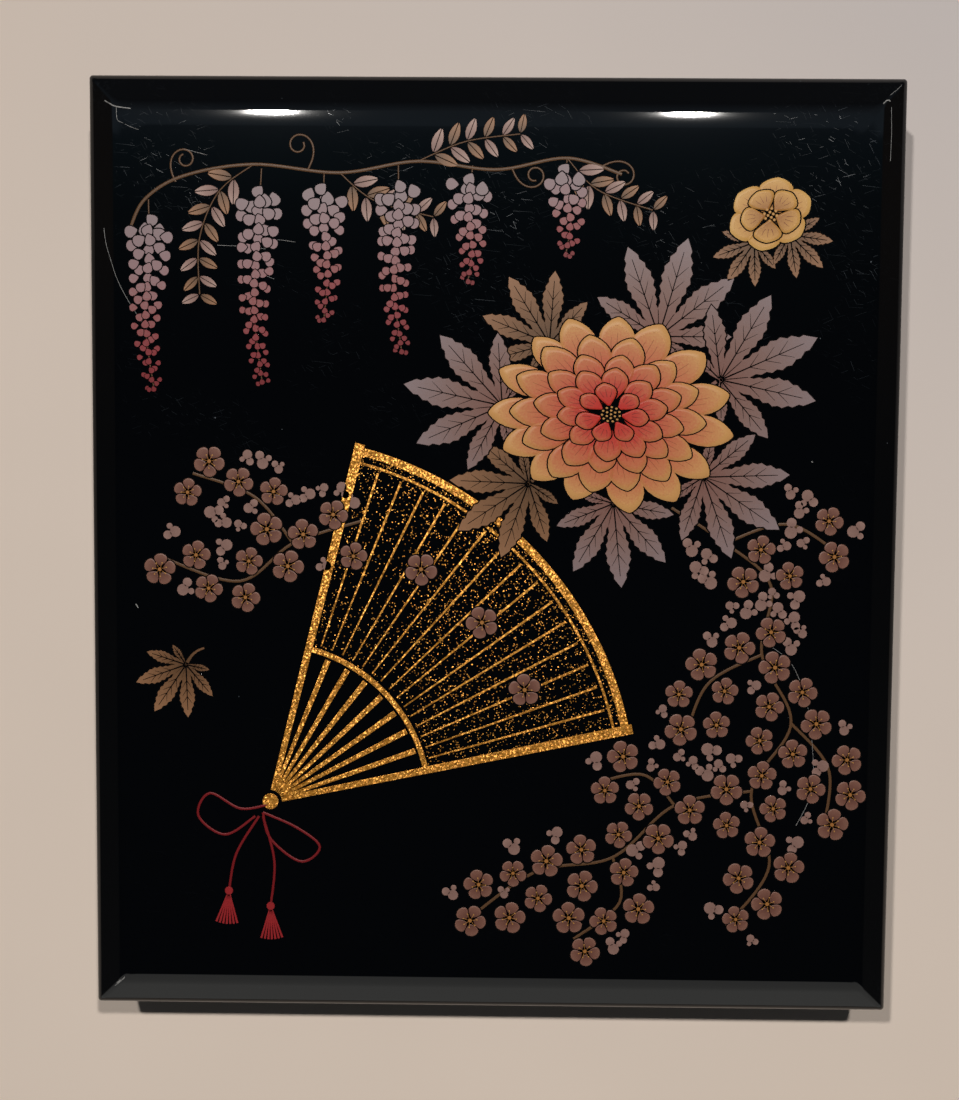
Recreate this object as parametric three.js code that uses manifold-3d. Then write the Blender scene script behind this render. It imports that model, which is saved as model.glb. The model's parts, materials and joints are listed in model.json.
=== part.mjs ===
// Black lacquer box with an overlapping lid: the joined wooden core under the lacquer, board by board.
// Sizes are in millimetres, +Z is up, and +X and +Y run along the lid's short and long sides.
// The origin is the centre of the footprint, on the surface that the box stands on.
import * as THREE from "three";
import { mergeVertices } from "three/addons/utils/BufferGeometryUtils.js";
import Module from "manifold-3d";

const wasm = await Module();
wasm.setup();

// Lid: a bevelled top board on four mitred walls.
const lidWidth = 211;
const lidLength = 245;
const lidBoardThickness = 8;
const lidEdgeBand = 0.6; // upright edge of the top board between the bevel and its walls
const lidRabbetDepth = 1.8; // how far the walls rise into the top board
const lidWallThickness = 4.5;
const lidSkirtDepth = 15; // from the bevel's lower edge to the rim
const lidRimChamfer = 0.8; // lead-in inside the rim
const lidCornerRadius = 0.9;
const bevelWidth = 10; // from the outer edge to where bevel and flat field would meet
const bevelEase = 2.8; // length of the rounding on each side of that meeting line

// Body: four mitred walls round a base board, on a low foot rim.
const bodyWallHeight = 34;
const bodyWallThickness = 5;
const bodyCornerRadius = 1;
const bodyRimChamfer = 0.6; // softens the inner edge of the rim
const baseBoardThickness = 4;
const baseRabbetDepth = 2.5; // how far the base board is let into each wall
const footHeight = 2.5;
const footWidth = 6;
const footInset = 8; // from the body's outer face to the foot rim
const footCornerRadius = 1;

// Loose tongues across the mitres, as shares of the wall that holds them.
const tongueWidthShare = 0.6;
const tongueThicknessShare = 0.25;

// Clearances.
const glueLine = 0.1; // between boards that are glued together
const lidClearance = 0.7; // all round, between the lid's walls and the body
const lidSeatGap = 0.2; // between the lid's ceiling and the body's rim
const cutOverrun = 2; // how far a cutting shape runs past what it trims

const arcSegments = 6;
const sideNames = ["front", "right", "back", "left"];

// Places that follow from the sizes above.
const bodyWidth = lidWidth - 2 * (lidWallThickness + lidClearance);
const bodyLength = lidLength - 2 * (lidWallThickness + lidClearance);
const bodyRimZ = footHeight + bodyWallHeight;
const baseTopZ = footHeight + baseBoardThickness;
const ceilingZ = bodyRimZ + lidSeatGap;
const lidTopZ = ceilingZ + lidBoardThickness;
const lidWallTopZ = ceilingZ + lidRabbetDepth;
const arrisZ = lidWallTopZ + glueLine + lidEdgeBand;
const lidRimZ = arrisZ - lidSkirtDepth;

const X = new THREE.Vector3(1, 0, 0);
const Y = new THREE.Vector3(0, 1, 0);
const Z = new THREE.Vector3(0, 0, 1);

// Black lacquer: polished where it is seen, and rubbed to a satin inside and underneath.
const polishedLacquer = new THREE.MeshStandardMaterial({ color: 0x08090b, roughness: 0.08, metalness: 0 });
const satinLacquer = new THREE.MeshStandardMaterial({ color: 0x100d0c, roughness: 0.35, metalness: 0 });
const bareCypress = new THREE.MeshStandardMaterial({ color: 0xc39a63, roughness: 0.8, metalness: 0 });

// A closed geometry as a solid that can be cut and joined.
function toSolid(geometry) {
  geometry.deleteAttribute("normal");
  geometry.deleteAttribute("uv");
  const merged = mergeVertices(geometry);
  const mesh = new wasm.Mesh({
    numProp: 3,
    vertProperties: merged.attributes.position.array,
    triVerts: new Uint32Array(merged.index.array),
  });
  return new wasm.Manifold(mesh);
}

// A solid as a geometry with flat faces.
function toGeometry(solid) {
  const mesh = solid.getMesh();
  const geometry = new THREE.BufferGeometry();
  geometry.setAttribute("position", new THREE.BufferAttribute(mesh.vertProperties, mesh.numProp));
  geometry.setIndex(new THREE.BufferAttribute(mesh.triVerts, 1));
  const faceted = geometry.toNonIndexed();
  faceted.computeVertexNormals();
  return faceted;
}

function extrude(shape, depth) {
  return new THREE.ExtrudeGeometry(shape, { depth, bevelEnabled: false, curveSegments: arcSegments });
}

// A prism from low to high, on a plan drawn in X and Y.
function standing(plan, low, high) {
  const geometry = extrude(plan, high - low);
  geometry.translate(0, 0, low);
  return toSolid(geometry);
}

// A bar along X through the origin, on a section drawn in Y and Z.
function barAlongX(section, length) {
  const geometry = extrude(section, length);
  geometry.translate(0, 0, -length / 2);
  geometry.applyMatrix4(new THREE.Matrix4().makeBasis(Y, Z, X));
  return toSolid(geometry);
}

// The same bar along Y, on a section drawn in X and Z.
function barAlongY(section, length) {
  const geometry = extrude(section, length);
  geometry.translate(0, 0, -length / 2);
  geometry.applyMatrix4(new THREE.Matrix4().makeBasis(X, Z, Y.clone().negate()));
  return toSolid(geometry);
}

function roundedRectangle(width, length, radius) {
  const right = width / 2 - radius;
  const back = length / 2 - radius;
  const plan = new THREE.Shape();
  plan.absarc(right, -back, radius, -Math.PI / 2, 0);
  plan.absarc(right, back, radius, 0, Math.PI / 2);
  plan.absarc(-right, back, radius, Math.PI / 2, Math.PI);
  plan.absarc(-right, -back, radius, Math.PI, 1.5 * Math.PI);
  return plan;
}

function named(name, geometry, material) {
  const mesh = new THREE.Mesh(geometry, material);
  mesh.name = name;
  return mesh;
}

// The top board's section across one direction: a thin panel that drops between the walls, the full board
// above it, then the bevel on both sides, eased into the flat field.
function lidBoardSection(half) {
  const panelHalf = half - lidWallThickness - glueLine;
  const shoulderZ = lidWallTopZ + glueLine;
  const bevelAngle = Math.atan2(lidTopZ - arrisZ, bevelWidth);
  const meet = half - bevelWidth;
  const easeEnd = meet + bevelEase * Math.cos(bevelAngle);
  const easeEndZ = lidTopZ - bevelEase * Math.sin(bevelAngle);
  const fieldHalf = meet - bevelEase;
  const section = new THREE.Shape();
  section.moveTo(-panelHalf, ceilingZ);
  section.lineTo(panelHalf, ceilingZ);
  section.lineTo(panelHalf, shoulderZ);
  section.lineTo(half + cutOverrun, shoulderZ);
  section.lineTo(half + cutOverrun, arrisZ);
  section.lineTo(half, arrisZ);
  section.lineTo(easeEnd, easeEndZ);
  section.quadraticCurveTo(meet, lidTopZ, fieldHalf, lidTopZ);
  section.lineTo(-fieldHalf, lidTopZ);
  section.quadraticCurveTo(-meet, lidTopZ, -easeEnd, easeEndZ);
  section.lineTo(-half, arrisZ);
  section.lineTo(-half - cutOverrun, arrisZ);
  section.lineTo(-half - cutOverrun, shoulderZ);
  section.lineTo(-panelHalf, shoulderZ);
  return section;
}

function lidTopBoard() {
  const across = barAlongY(lidBoardSection(lidWidth / 2), lidLength + 2 * cutOverrun);
  const along = barAlongX(lidBoardSection(lidLength / 2), lidWidth + 2 * cutOverrun);
  const plan = roundedRectangle(lidWidth, lidLength, lidCornerRadius);
  const trimmed = standing(plan, ceilingZ - cutOverrun, lidTopZ + cutOverrun);
  return toGeometry(across.intersect(along).intersect(trimmed));
}

// The plan of one side of a mitred frame, drawn as its front side: the outer face at -reach, rounded at
// its ends as far as the mitres, which stop half a glue line short of the diagonals.
function mitredPlan(half, reach, depth, radius) {
  const back = glueLine / 2;
  const turn = Math.asin(back / radius);
  const shift = back * Math.SQRT2;
  const plan = new THREE.Shape();
  plan.moveTo(-(half - depth - shift), depth - reach);
  plan.absarc(-(half - radius), radius - reach, radius, 1.25 * Math.PI + turn, 1.5 * Math.PI);
  plan.absarc(half - radius, radius - reach, radius, -Math.PI / 2, -Math.PI / 4 - turn);
  plan.lineTo(half - depth - shift, depth - reach);
  return plan;
}

// A side of a frame: its section run along X, trimmed by the mitred plan.
function mitredSide(section, half, reach, thickness, radius, low, high) {
  const bar = barAlongX(section, 2 * (half + cutOverrun));
  const plan = mitredPlan(half, reach, thickness + cutOverrun, radius);
  return bar.intersect(standing(plan, low - cutOverrun, high + cutOverrun));
}

// A loose tongue, or the slot for one when it is given room, across the mitre at one corner.
function tongueBlock(wallThickness, x, y, turn, low, high, room) {
  const width = tongueWidthShare * wallThickness + 2 * room;
  const thickness = tongueThicknessShare * wallThickness + 2 * room;
  const block = new THREE.BoxGeometry(width, thickness, high - low);
  block.rotateZ(turn);
  block.translate(x, y, (low + high) / 2);
  return block;
}

// Cuts the tongue slots at both ends of a side, open at the top and stopped at the foot of the tongue.
function withTongueSlots(side, half, reach, thickness, low, high) {
  const x = half - thickness / 2;
  const y = thickness / 2 - reach;
  const slots = [-1, 1].map((end) =>
    toSolid(
      tongueBlock(thickness, end * x, y, (end * Math.PI) / 4, low - glueLine, high + cutOverrun, glueLine),
    ),
  );
  return slots.reduce((solid, slot) => solid.subtract(slot), side);
}

function lidWallSection(reach) {
  const inner = lidWallThickness - reach;
  const section = new THREE.Shape();
  section.moveTo(-reach - cutOverrun, lidRimZ);
  section.lineTo(inner - lidRimChamfer, lidRimZ);
  section.lineTo(inner, lidRimZ + lidRimChamfer);
  section.lineTo(inner, lidWallTopZ);
  section.lineTo(-reach - cutOverrun, lidWallTopZ);
  return section;
}

function bodyWallSection(reach) {
  const inner = bodyWallThickness - reach;
  const shelfZ = baseTopZ + glueLine;
  const section = new THREE.Shape();
  section.moveTo(-reach - cutOverrun, footHeight);
  section.lineTo(inner - baseRabbetDepth, footHeight);
  section.lineTo(inner - baseRabbetDepth, shelfZ);
  section.lineTo(inner, shelfZ);
  section.lineTo(inner, bodyRimZ - bodyRimChamfer);
  section.lineTo(inner - bodyRimChamfer, bodyRimZ);
  section.lineTo(-reach - cutOverrun, bodyRimZ);
  return section;
}

function footSection(reach) {
  const top = footHeight - glueLine;
  const section = new THREE.Shape();
  section.moveTo(-reach - cutOverrun, 0);
  section.lineTo(footWidth - reach, 0);
  section.lineTo(footWidth - reach, top);
  section.lineTo(-reach - cutOverrun, top);
  return section;
}

const lidTongueLowZ = lidRimZ + lidWallThickness;
const lidTongueHighZ = lidWallTopZ - glueLine;
const bodyTongueLowZ = baseTopZ + bodyWallThickness;
const bodyTongueHighZ = bodyRimZ - bodyRimChamfer;

function lidWall(half, reach) {
  const side = mitredSide(
    lidWallSection(reach), half, reach, lidWallThickness, lidCornerRadius, lidRimZ, lidWallTopZ,
  );
  return withTongueSlots(side, half, reach, lidWallThickness, lidTongueLowZ, lidTongueHighZ);
}

function bodyWall(half, reach) {
  const side = mitredSide(
    bodyWallSection(reach), half, reach, bodyWallThickness, bodyCornerRadius, footHeight, bodyRimZ,
  );
  return withTongueSlots(side, half, reach, bodyWallThickness, bodyTongueLowZ, bodyTongueHighZ);
}

function footStrip(half, reach) {
  return mitredSide(footSection(reach), half, reach, footWidth, footCornerRadius, 0, footHeight);
}

// Four sides of a rectangular frame, each drawn as the front one and turned into its place.
function frameOfSides(prefix, width, length, makeSide, material) {
  return sideNames.map((side, quarter) => {
    const alongX = quarter % 2 === 0;
    const half = (alongX ? width : length) / 2;
    const reach = (alongX ? length : width) / 2;
    const mesh = named(`${prefix}_${side}`, toGeometry(makeSide(half, reach)), material);
    mesh.rotation.z = (quarter * Math.PI) / 2;
    return mesh;
  });
}

// The four loose tongues of a frame, one at each corner.
function cornerTongues(prefix, width, length, thickness, low, high) {
  const corners = [
    ["front_left", -1, -1],
    ["front_right", 1, -1],
    ["back_right", 1, 1],
    ["back_left", -1, 1],
  ];
  return corners.map(([corner, sideX, sideY]) => {
    const x = (sideX * (width - thickness)) / 2;
    const y = (sideY * (length - thickness)) / 2;
    const turn = (-sideX * sideY * Math.PI) / 4;
    return named(`${prefix}_${corner}`, tongueBlock(thickness, x, y, turn, low, high, 0), bareCypress);
  });
}

function baseBoard() {
  const side = bodyWallThickness - baseRabbetDepth + glueLine;
  const board = new THREE.BoxGeometry(bodyWidth - 2 * side, bodyLength - 2 * side, baseBoardThickness);
  board.translate(0, 0, footHeight + baseBoardThickness / 2);
  return board;
}

function lid() {
  const group = new THREE.Group();
  group.name = "lid";
  group.add(named("lid_top_board", lidTopBoard(), polishedLacquer));
  group.add(...frameOfSides("lid_wall", lidWidth, lidLength, lidWall, polishedLacquer));
  group.add(
    ...cornerTongues("lid_tongue", lidWidth, lidLength, lidWallThickness, lidTongueLowZ, lidTongueHighZ),
  );
  return group;
}

function body() {
  const group = new THREE.Group();
  group.name = "body";
  const footInsets = 2 * footInset;
  group.add(named("base_board", baseBoard(), satinLacquer));
  group.add(...frameOfSides("body_wall", bodyWidth, bodyLength, bodyWall, polishedLacquer));
  group.add(
    ...cornerTongues("body_tongue", bodyWidth, bodyLength, bodyWallThickness, bodyTongueLowZ, bodyTongueHighZ),
  );
  group.add(
    ...frameOfSides("foot_strip", bodyWidth - footInsets, bodyLength - footInsets, footStrip, satinLacquer),
  );
  return group;
}

const box = new THREE.Group();
box.name = "lacquer_box";
box.add(body(), lid());

export default box;
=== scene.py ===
import json
import math
from functools import partial

import bmesh
import bpy
from mathutils import Matrix, Vector

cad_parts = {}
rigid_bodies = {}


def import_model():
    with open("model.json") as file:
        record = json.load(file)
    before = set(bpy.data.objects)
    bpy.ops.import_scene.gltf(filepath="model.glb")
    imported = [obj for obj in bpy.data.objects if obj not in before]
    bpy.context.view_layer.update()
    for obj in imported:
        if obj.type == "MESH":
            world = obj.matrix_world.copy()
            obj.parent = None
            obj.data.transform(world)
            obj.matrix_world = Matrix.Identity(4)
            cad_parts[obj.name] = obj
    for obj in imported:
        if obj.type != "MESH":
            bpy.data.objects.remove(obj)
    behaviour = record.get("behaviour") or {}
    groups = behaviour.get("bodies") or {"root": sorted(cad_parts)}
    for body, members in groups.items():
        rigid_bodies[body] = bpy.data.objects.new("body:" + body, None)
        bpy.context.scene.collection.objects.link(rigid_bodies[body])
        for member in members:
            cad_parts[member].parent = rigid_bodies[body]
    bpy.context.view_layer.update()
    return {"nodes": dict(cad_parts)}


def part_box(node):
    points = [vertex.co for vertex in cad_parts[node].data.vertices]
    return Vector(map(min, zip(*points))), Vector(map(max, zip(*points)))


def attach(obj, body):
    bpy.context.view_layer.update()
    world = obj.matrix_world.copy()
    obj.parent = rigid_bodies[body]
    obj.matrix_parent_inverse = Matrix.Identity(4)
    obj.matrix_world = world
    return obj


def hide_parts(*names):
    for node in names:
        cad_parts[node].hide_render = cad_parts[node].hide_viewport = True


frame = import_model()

bl_info = {
    "name": "Lacquer Box",
    "version": (1, 0, 0),
    "blender": (4, 5, 0),
    "location": "View3D > Sidebar > Lacquer Box",
    "description": "Builds a black lacquer writing box with a decorated lid, and a small studio round it",
    "category": "Object",
}

MM = 0.001
TURN = 2 * math.pi

# Places that the joined wooden core gives
LID_LOW, LID_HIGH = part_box("lid_top_board")
LID_WALL_LOW, LID_WALL_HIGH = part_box("lid_wall_front")
BODY_WALL_LOW, BODY_WALL_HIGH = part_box("body_wall_front")
BODY_SIDE_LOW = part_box("body_wall_left")[0]
BOARD_LOW, BOARD_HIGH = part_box("base_board")
FOOT_LOW, FOOT_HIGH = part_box("foot_strip_front")
FOOT_SIDE_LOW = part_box("foot_strip_left")[0]
SIDES = ("front", "right", "back", "left")


def length(name, description, millimetres):
    return bpy.props.FloatProperty(
        name=name, description=description, default=millimetres * MM, unit="LENGTH", precision=5)


def number(name, description, value):
    return bpy.props.FloatProperty(name=name, description=description, default=value)


def angle(name, description, degrees):
    return bpy.props.FloatProperty(
        name=name, description=description, default=math.radians(degrees), subtype="ANGLE")


def count(name, description, value):
    return bpy.props.IntProperty(name=name, description=description, default=value, min=1)


def linear(code):
    """The linear red, green and blue of an sRGB hex colour."""
    parts = [int(code[i:i + 2], 16) / 255 for i in (1, 3, 5)]
    return [p / 12.92 if p <= 0.04045 else ((p + 0.055) / 1.055) ** 2.4 for p in parts]


def colour(name, description, code):
    return bpy.props.FloatVectorProperty(
        name=name, description=description, default=linear(code), subtype="COLOR", size=3)


def opaque(tone):
    """A linear colour, or one given as sRGB hex, with full alpha."""
    return (*(linear(tone) if isinstance(tone, str) else tone), 1.0)


def fill(tree, node, inputs):
    """Gives inputs, by name or number, a value or what feeds them; a node stands for its first output."""
    for key, value in inputs.items():
        if isinstance(value, bpy.types.Node):
            value = value.outputs[0]
        if isinstance(value, bpy.types.NodeSocket):
            tree.links.new(value, node.inputs[key])
        else:
            node.inputs[key].default_value = value


def add_node(tree, kind, inputs=None, **settings):
    """Adds a node with its settings, and fills its inputs."""
    made = tree.nodes.new(kind)
    for setting, value in settings.items():
        setattr(made, setting, value)
    fill(tree, made, inputs or {})
    return made


# Finishes


def new_finish(name):
    """A new material: what adds a node, what fills its shader, and the place of each point on the piece."""
    finish = bpy.data.materials.new(name)
    finish.use_nodes = True
    tree = finish.node_tree
    add = partial(add_node, tree)
    shade = partial(fill, tree, tree.nodes["Principled BSDF"])
    return add, shade, add("ShaderNodeTexCoord").outputs["Object"]


def mottle(add, place, size, limits, detail=2.0):
    """Clouds of a real size, and the same clouds spread between limits."""
    clouds = add("ShaderNodeTexNoise", {"Vector": place, "Scale": 1 / size, "Detail": detail})
    return clouds, add("ShaderNodeMapRange", {"Value": clouds} | limits)


def colour_stops(add, factor, stops):
    """Colours that pass through stops, each a place from 0 to 1 and a colour."""
    ramp = add("ShaderNodeValToRGB", {0: factor})
    elements = ramp.color_ramp.elements
    while len(elements) < len(stops):
        elements.new(1.0)
    for element, (where, tone) in zip(elements, stops):
        element.position = where
        element.color = opaque(tone)
    return ramp


# Layers of polishing scratches: heading in degrees, length and width of a cell in millimetres, lean
HAIRLINE_LAYERS = ((28, 3.2, 0.8, 0.35), (5, 8.0, 1.8, 0.2), (-20, 4.2, 1.1, 0.4), (62, 3.6, 1.0, 0.4))
HALF_STROKE_SHARE = 0.4  # of a cell's length, for the longest stroke
STROKE_CONTRAST = 7  # how few of the strokes are bright
SPECK_SHARE = 0.035  # of the spacing, for the widest speck
SPECK_STRENGTH = 0.45  # of full wear
SPECK_LUCK = 0.7  # the share of places that stay without a speck
PATCH_SIZE = 27 * MM
PATCHES = {"From Min": 0.47, "From Max": 0.7}  # where clouds turn from sound lacquer to scratched
SCRATCHES_LIT_TOWARDS_BACK = {"From Min": 10 * MM, "From Max": 95 * MM, "To Min": 0.03}  # scratches are drawn mostly there, where the lamps light them, partly as a painted highlight
GRIT_SIZE = 0.9 * MM
GRIT = {"From Min": 0.56, "From Max": 0.72}
RIPPLE_SIZE = 14 * MM
DRAG_SIZE = (22 * MM, 0.7 * MM, 0.7 * MM)  # of the marks that the brush leaves
RING_SPACING = 6 * MM
BURR_SIZE = 1.1 * MM
MIDDLE_FLAKE = 0.45  # the share of gold flakes below the middle tone
CLOUD_SIZE = 90 * MM
URUSHI_IOR = 1.5


def hairlines(add, place, heading, long, wide, half_width, lean):
    """Short polishing scratches: one straight stroke in each cell of a stretched grid, as a mask."""
    headed = add("ShaderNodeMapping", {"Vector": place, "Rotation": (0, 0, heading)})
    grid = add("ShaderNodeVectorMath", {0: headed, 1: (1 / long, 1 / wide, 0)}, operation="MULTIPLY")
    cells = add("ShaderNodeTexVoronoi", {"Vector": grid, "Scale": 1.0}, voronoi_dimensions="2D").outputs
    apart = add("ShaderNodeVectorMath", {0: grid, 1: cells["Position"]}, operation="SUBTRACT")
    offset = add("ShaderNodeSeparateXYZ", {0: apart}).outputs
    luck = add("ShaderNodeSeparateColor", {0: cells["Color"]}).outputs
    slope = add("ShaderNodeMapRange", {"Value": luck[2], "To Min": -lean, "To Max": lean})
    across = add("ShaderNodeMath", {0: offset[0], 1: slope, 2: offset[1]}, operation="MULTIPLY_ADD")
    near = add("ShaderNodeMath", {0: across}, operation="ABSOLUTE")
    limits = {"Value": near, "From Max": half_width / wide, "To Min": 1.0, "To Max": 0.0}
    line = add("ShaderNodeMapRange", limits)
    along = add("ShaderNodeMath", {0: offset[0]}, operation="ABSOLUTE")
    reach = add("ShaderNodeMath", {0: luck[1], 1: HALF_STROKE_SHARE}, operation="MULTIPLY")
    ends = add("ShaderNodeMath", {0: along, 1: reach}, operation="LESS_THAN")
    stroke = add("ShaderNodeMath", {0: line, 1: ends}, operation="MULTIPLY")
    weight = add("ShaderNodeMath", {0: luck[0], 1: STROKE_CONTRAST}, operation="POWER")
    return add("ShaderNodeMath", {0: stroke, 1: weight}, operation="MULTIPLY")


def polished_urushi(settings):
    """Black urushi lacquer, polished with powder until it mirrors: near black, with fine hairlines in it.

    The gloss is that of a hard clear film, so the surface shows the room more than any colour of its own.
    Its hairlines and rubbed places are painted pale blue-grey: partly wear, partly a painted highlight of the
    lamps.
    """
    add, shade, place = new_finish("polished_black_urushi")
    wear = 0.0
    for heading, long, wide, lean in HAIRLINE_LAYERS:
        strokes = hairlines(
            add, place, math.radians(heading), long * MM, wide * MM, settings.hairline_width, lean)
        wear = add("ShaderNodeMath", {0: wear, 1: strokes}, operation="MAXIMUM")
    towards_back = add("ShaderNodeSeparateXYZ", {0: place}).outputs[1]
    for share in (
            mottle(add, place, PATCH_SIZE, PATCHES)[1],
            add("ShaderNodeMapRange", {"Value": towards_back} | SCRATCHES_LIT_TOWARDS_BACK),
            add("ShaderNodeAttribute", attribute_name="field").outputs["Fac"]):
        wear = add("ShaderNodeMath", {0: wear, 1: share}, operation="MULTIPLY")
    dents = add("ShaderNodeTexVoronoi", {"Vector": place, "Scale": 1 / settings.speck_spacing}).outputs
    luck = add("ShaderNodeSeparateColor", {0: dents["Color"]})
    reach = add("ShaderNodeMapRange", {"Value": luck, "From Min": SPECK_LUCK, "To Max": SPECK_SHARE})
    specks = add("ShaderNodeMath", {0: dents["Distance"], 1: reach}, operation="LESS_THAN")
    rubbed = add("ShaderNodeAttribute", attribute_name="wear").outputs["Fac"]
    for mark, strength in ((specks, SPECK_STRENGTH), (rubbed, mottle(add, place, GRIT_SIZE, GRIT, 4.0)[1])):
        marks = add("ShaderNodeMath", {0: mark, 1: strength}, operation="MULTIPLY")
        wear = add("ShaderNodeMath", {0: wear, 1: marks}, operation="MAXIMUM")
    # Painted highlight as well as wear: scratched and rubbed places turn pale blue-grey, as if lit by the
    # lamps
    tones = {0: wear, 6: opaque(settings.lacquer), 7: opaque(settings.scuff_and_glint)}
    gloss = {"Value": wear, "To Min": settings.polish_roughness, "To Max": settings.scuff_roughness}
    ripple = add("ShaderNodeTexNoise", {"Vector": place, "Scale": 1 / RIPPLE_SIZE, "Detail": 1.0})
    shade({
        "Base Color": add("ShaderNodeMix", tones, data_type="RGBA").outputs[2],
        "Roughness": add("ShaderNodeMapRange", gloss),
        "Normal": add("ShaderNodeBump", {"Strength": 0.2, "Distance": 0.01 * MM, "Height": ripple}),
        "IOR": URUSHI_IOR})


def satin_urushi():
    """Black urushi left as it comes off the brush and rubbed down: a brown-black satin with a faint drag."""
    add, shade, place = new_finish("rubbed_black_urushi")
    drag = add("ShaderNodeMapping", {"Vector": place, "Scale": [1 / size for size in DRAG_SIZE]})
    brush, gloss = mottle(add, drag, 1.0, {"To Min": 0.26, "To Max": 0.4}, 3.0)
    tones = {0: brush, 6: opaque("#0b0908"), 7: opaque("#191412")}
    shade({
        "Base Color": add("ShaderNodeMix", tones, data_type="RGBA").outputs[2],
        "Roughness": gloss,
        "Normal": add("ShaderNodeBump", {"Strength": 0.3, "Distance": 0.02 * MM, "Height": brush}),
        "IOR": URUSHI_IOR})


def bare_cypress():
    """Planed Japanese cypress, left bare in the joints: pale straw with close darker growth lines."""
    add, shade, place = new_finish("planed_bare_cypress")
    lines = {"Vector": place, "Scale": 1 / RING_SPACING, "Distortion": 2.5, "Detail": 2.0}
    grain = add("ShaderNodeTexWave", lines).outputs["Fac"]
    tones = {0: grain, 6: opaque("#b98c57"), 7: opaque("#d9b98a")}
    shade({"Base Color": add("ShaderNodeMix", tones, data_type="RGBA").outputs[2], "Roughness": 0.75})


def scraped_urushi():
    """Urushi cut by a sharp edge: the broken film scatters light, so a scratch looks pale grey and dull."""
    add, shade, place = new_finish("scraped_urushi")
    burr = add("ShaderNodeTexNoise", {"Vector": place, "Scale": 1 / BURR_SIZE, "Detail": 2.0})
    tones = {0: burr, 6: opaque("#3c3e40"), 7: opaque("#a9a8a6")}
    shade({"Base Color": add("ShaderNodeMix", tones, data_type="RGBA").outputs[2], "Roughness": 0.5})


def sprinkled_gold(settings):
    """Gold flake sprinkled into wet lacquer and burnished: coarse glittering grains, each at its own tilt.

    Real flakes are about 0.2 mm across and are drawn a little larger, so that they show.
    """
    add, shade, place = new_finish("sprinkled_gold_flake")
    flakes = add("ShaderNodeTexVoronoi", {"Vector": place, "Scale": 1 / settings.flake_size}).outputs["Color"]
    luck = add("ShaderNodeSeparateColor", {0: flakes})
    stops = ((0.0, settings.gold_shade), (MIDDLE_FLAKE, settings.gold), (1.0, settings.gold_glint))
    tilt = add("ShaderNodeVectorMath", {0: flakes, 1: (0.5, 0.5, 0.5)}, operation="SUBTRACT")
    lean = add("ShaderNodeVectorMath", {0: tilt, "Scale": settings.flake_tilt}, operation="SCALE")
    facing = add("ShaderNodeNewGeometry").outputs["Normal"]
    leaning = add("ShaderNodeVectorMath", {0: facing, 1: lean}, operation="ADD")
    shade({
        "Base Color": colour_stops(add, luck, stops),
        "Normal": add("ShaderNodeVectorMath", {0: leaning}, operation="NORMALIZE"),
        "Metallic": 0.55, "Roughness": 0.36})


# How a coloured lacquer is left: its roughness and specular level
DUSTED = (0.35, 0.12)
RUBBED_BRIGHT = (0.05, 0.5)

# Coloured lacquers: name, colours, size of the powder's mottle in millimetres, how it is left, and the
# attribute that its colours run along
TINTS = (
    ("coral_to_cream_lacquer", (
        (0.0, "#a81e19"), (0.24, "#a8372a"), (0.42, "#ab573c"), (0.62, "#ae6c46"), (0.85, "#b88954")),
     0.5, DUSTED, "reach"),
    ("cream_lacquer", ((0.1, "#8f5f30"), (0.6, "#b3864a"), (1.0, "#c19a5e")), 0.5, DUSTED, "reach"),
    ("lilac_grey_lacquer", ((0.1, "#6e4c44"), (0.45, "#745a54"), (0.95, "#7b6c6e")), 0.6, DUSTED, "reach"),
    ("bronze_powder_lacquer", ((0.1, "#523a26"), (0.6, "#74533a"), (1.0, "#876247")), 0.4, DUSTED, "reach"),
    ("rose_tan_lacquer", ((0.1, "#4b3129"), (0.6, "#66443a"), (1.0, "#765448")), 0.4, DUSTED, "reach"),
    ("mauve_pink_lacquer", ((0.1, "#70554e"), (0.6, "#866a62"), (1.0, "#997f76")), 0.5, DUSTED, "reach"),
    ("vermilion_lacquer", ((0.1, "#6a171b"), (0.6, "#8c2528"), (1.0, "#a03433")), 0.5, DUSTED, "reach"),
    ("russet_line_lacquer", ((0.2, "#5a1a14"), (0.8, "#7d4526")), 0.5, DUSTED, "reach"),
    ("black_line_lacquer", ((0.0, "#050506"), (1.0, "#0b0a0a")), 0.5, RUBBED_BRIGHT, "reach"),
    ("mauve_to_vermilion_lacquer", (
        (0.0, "#7d6d70"), (0.3, "#84676a"), (0.55, "#7f4c4c"), (0.75, "#782b30"), (1.0, "#6a1d22")),
     0.5, DUSTED, "share"),
)
POWDER_SHIFT = 0.16  # how far the powder's mottle moves a place along its colours


def tinted_lacquer(name, stops, grain, coat, attribute):
    """Pigment or metal powder in clear lacquer, graded from one colour to the next along an attribute."""
    add, shade, place = new_finish(name)
    powder, shift = mottle(add, place, grain * MM, {"To Min": -POWDER_SHIFT, "To Max": POWDER_SHIFT})
    reach = add("ShaderNodeAttribute", attribute_name=attribute).outputs["Fac"]
    graded = add("ShaderNodeMath", {0: reach, 1: shift}, operation="ADD")
    shade({
        "Base Color": colour_stops(add, graded, stops),
        "Normal": add("ShaderNodeBump", {"Strength": 0.35, "Distance": 0.008 * MM, "Height": powder}),
        "Roughness": coat[0], "Specular IOR Level": coat[1]})


# The studio sheet: how it pales in the gloss fore and aft of a line beside the box, and how it glows with
# the distance from the box
SHEET_MIDDLE = 20 * MM
SHEET_IN_GLOSS = {"From Min": 70 * MM, "From Max": 140 * MM, "To Min": 0.25, "To Max": 0.6}
SHEET_GLOW = {"From Min": 220 * MM, "From Max": 1600 * MM, "To Max": 0.95}


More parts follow.
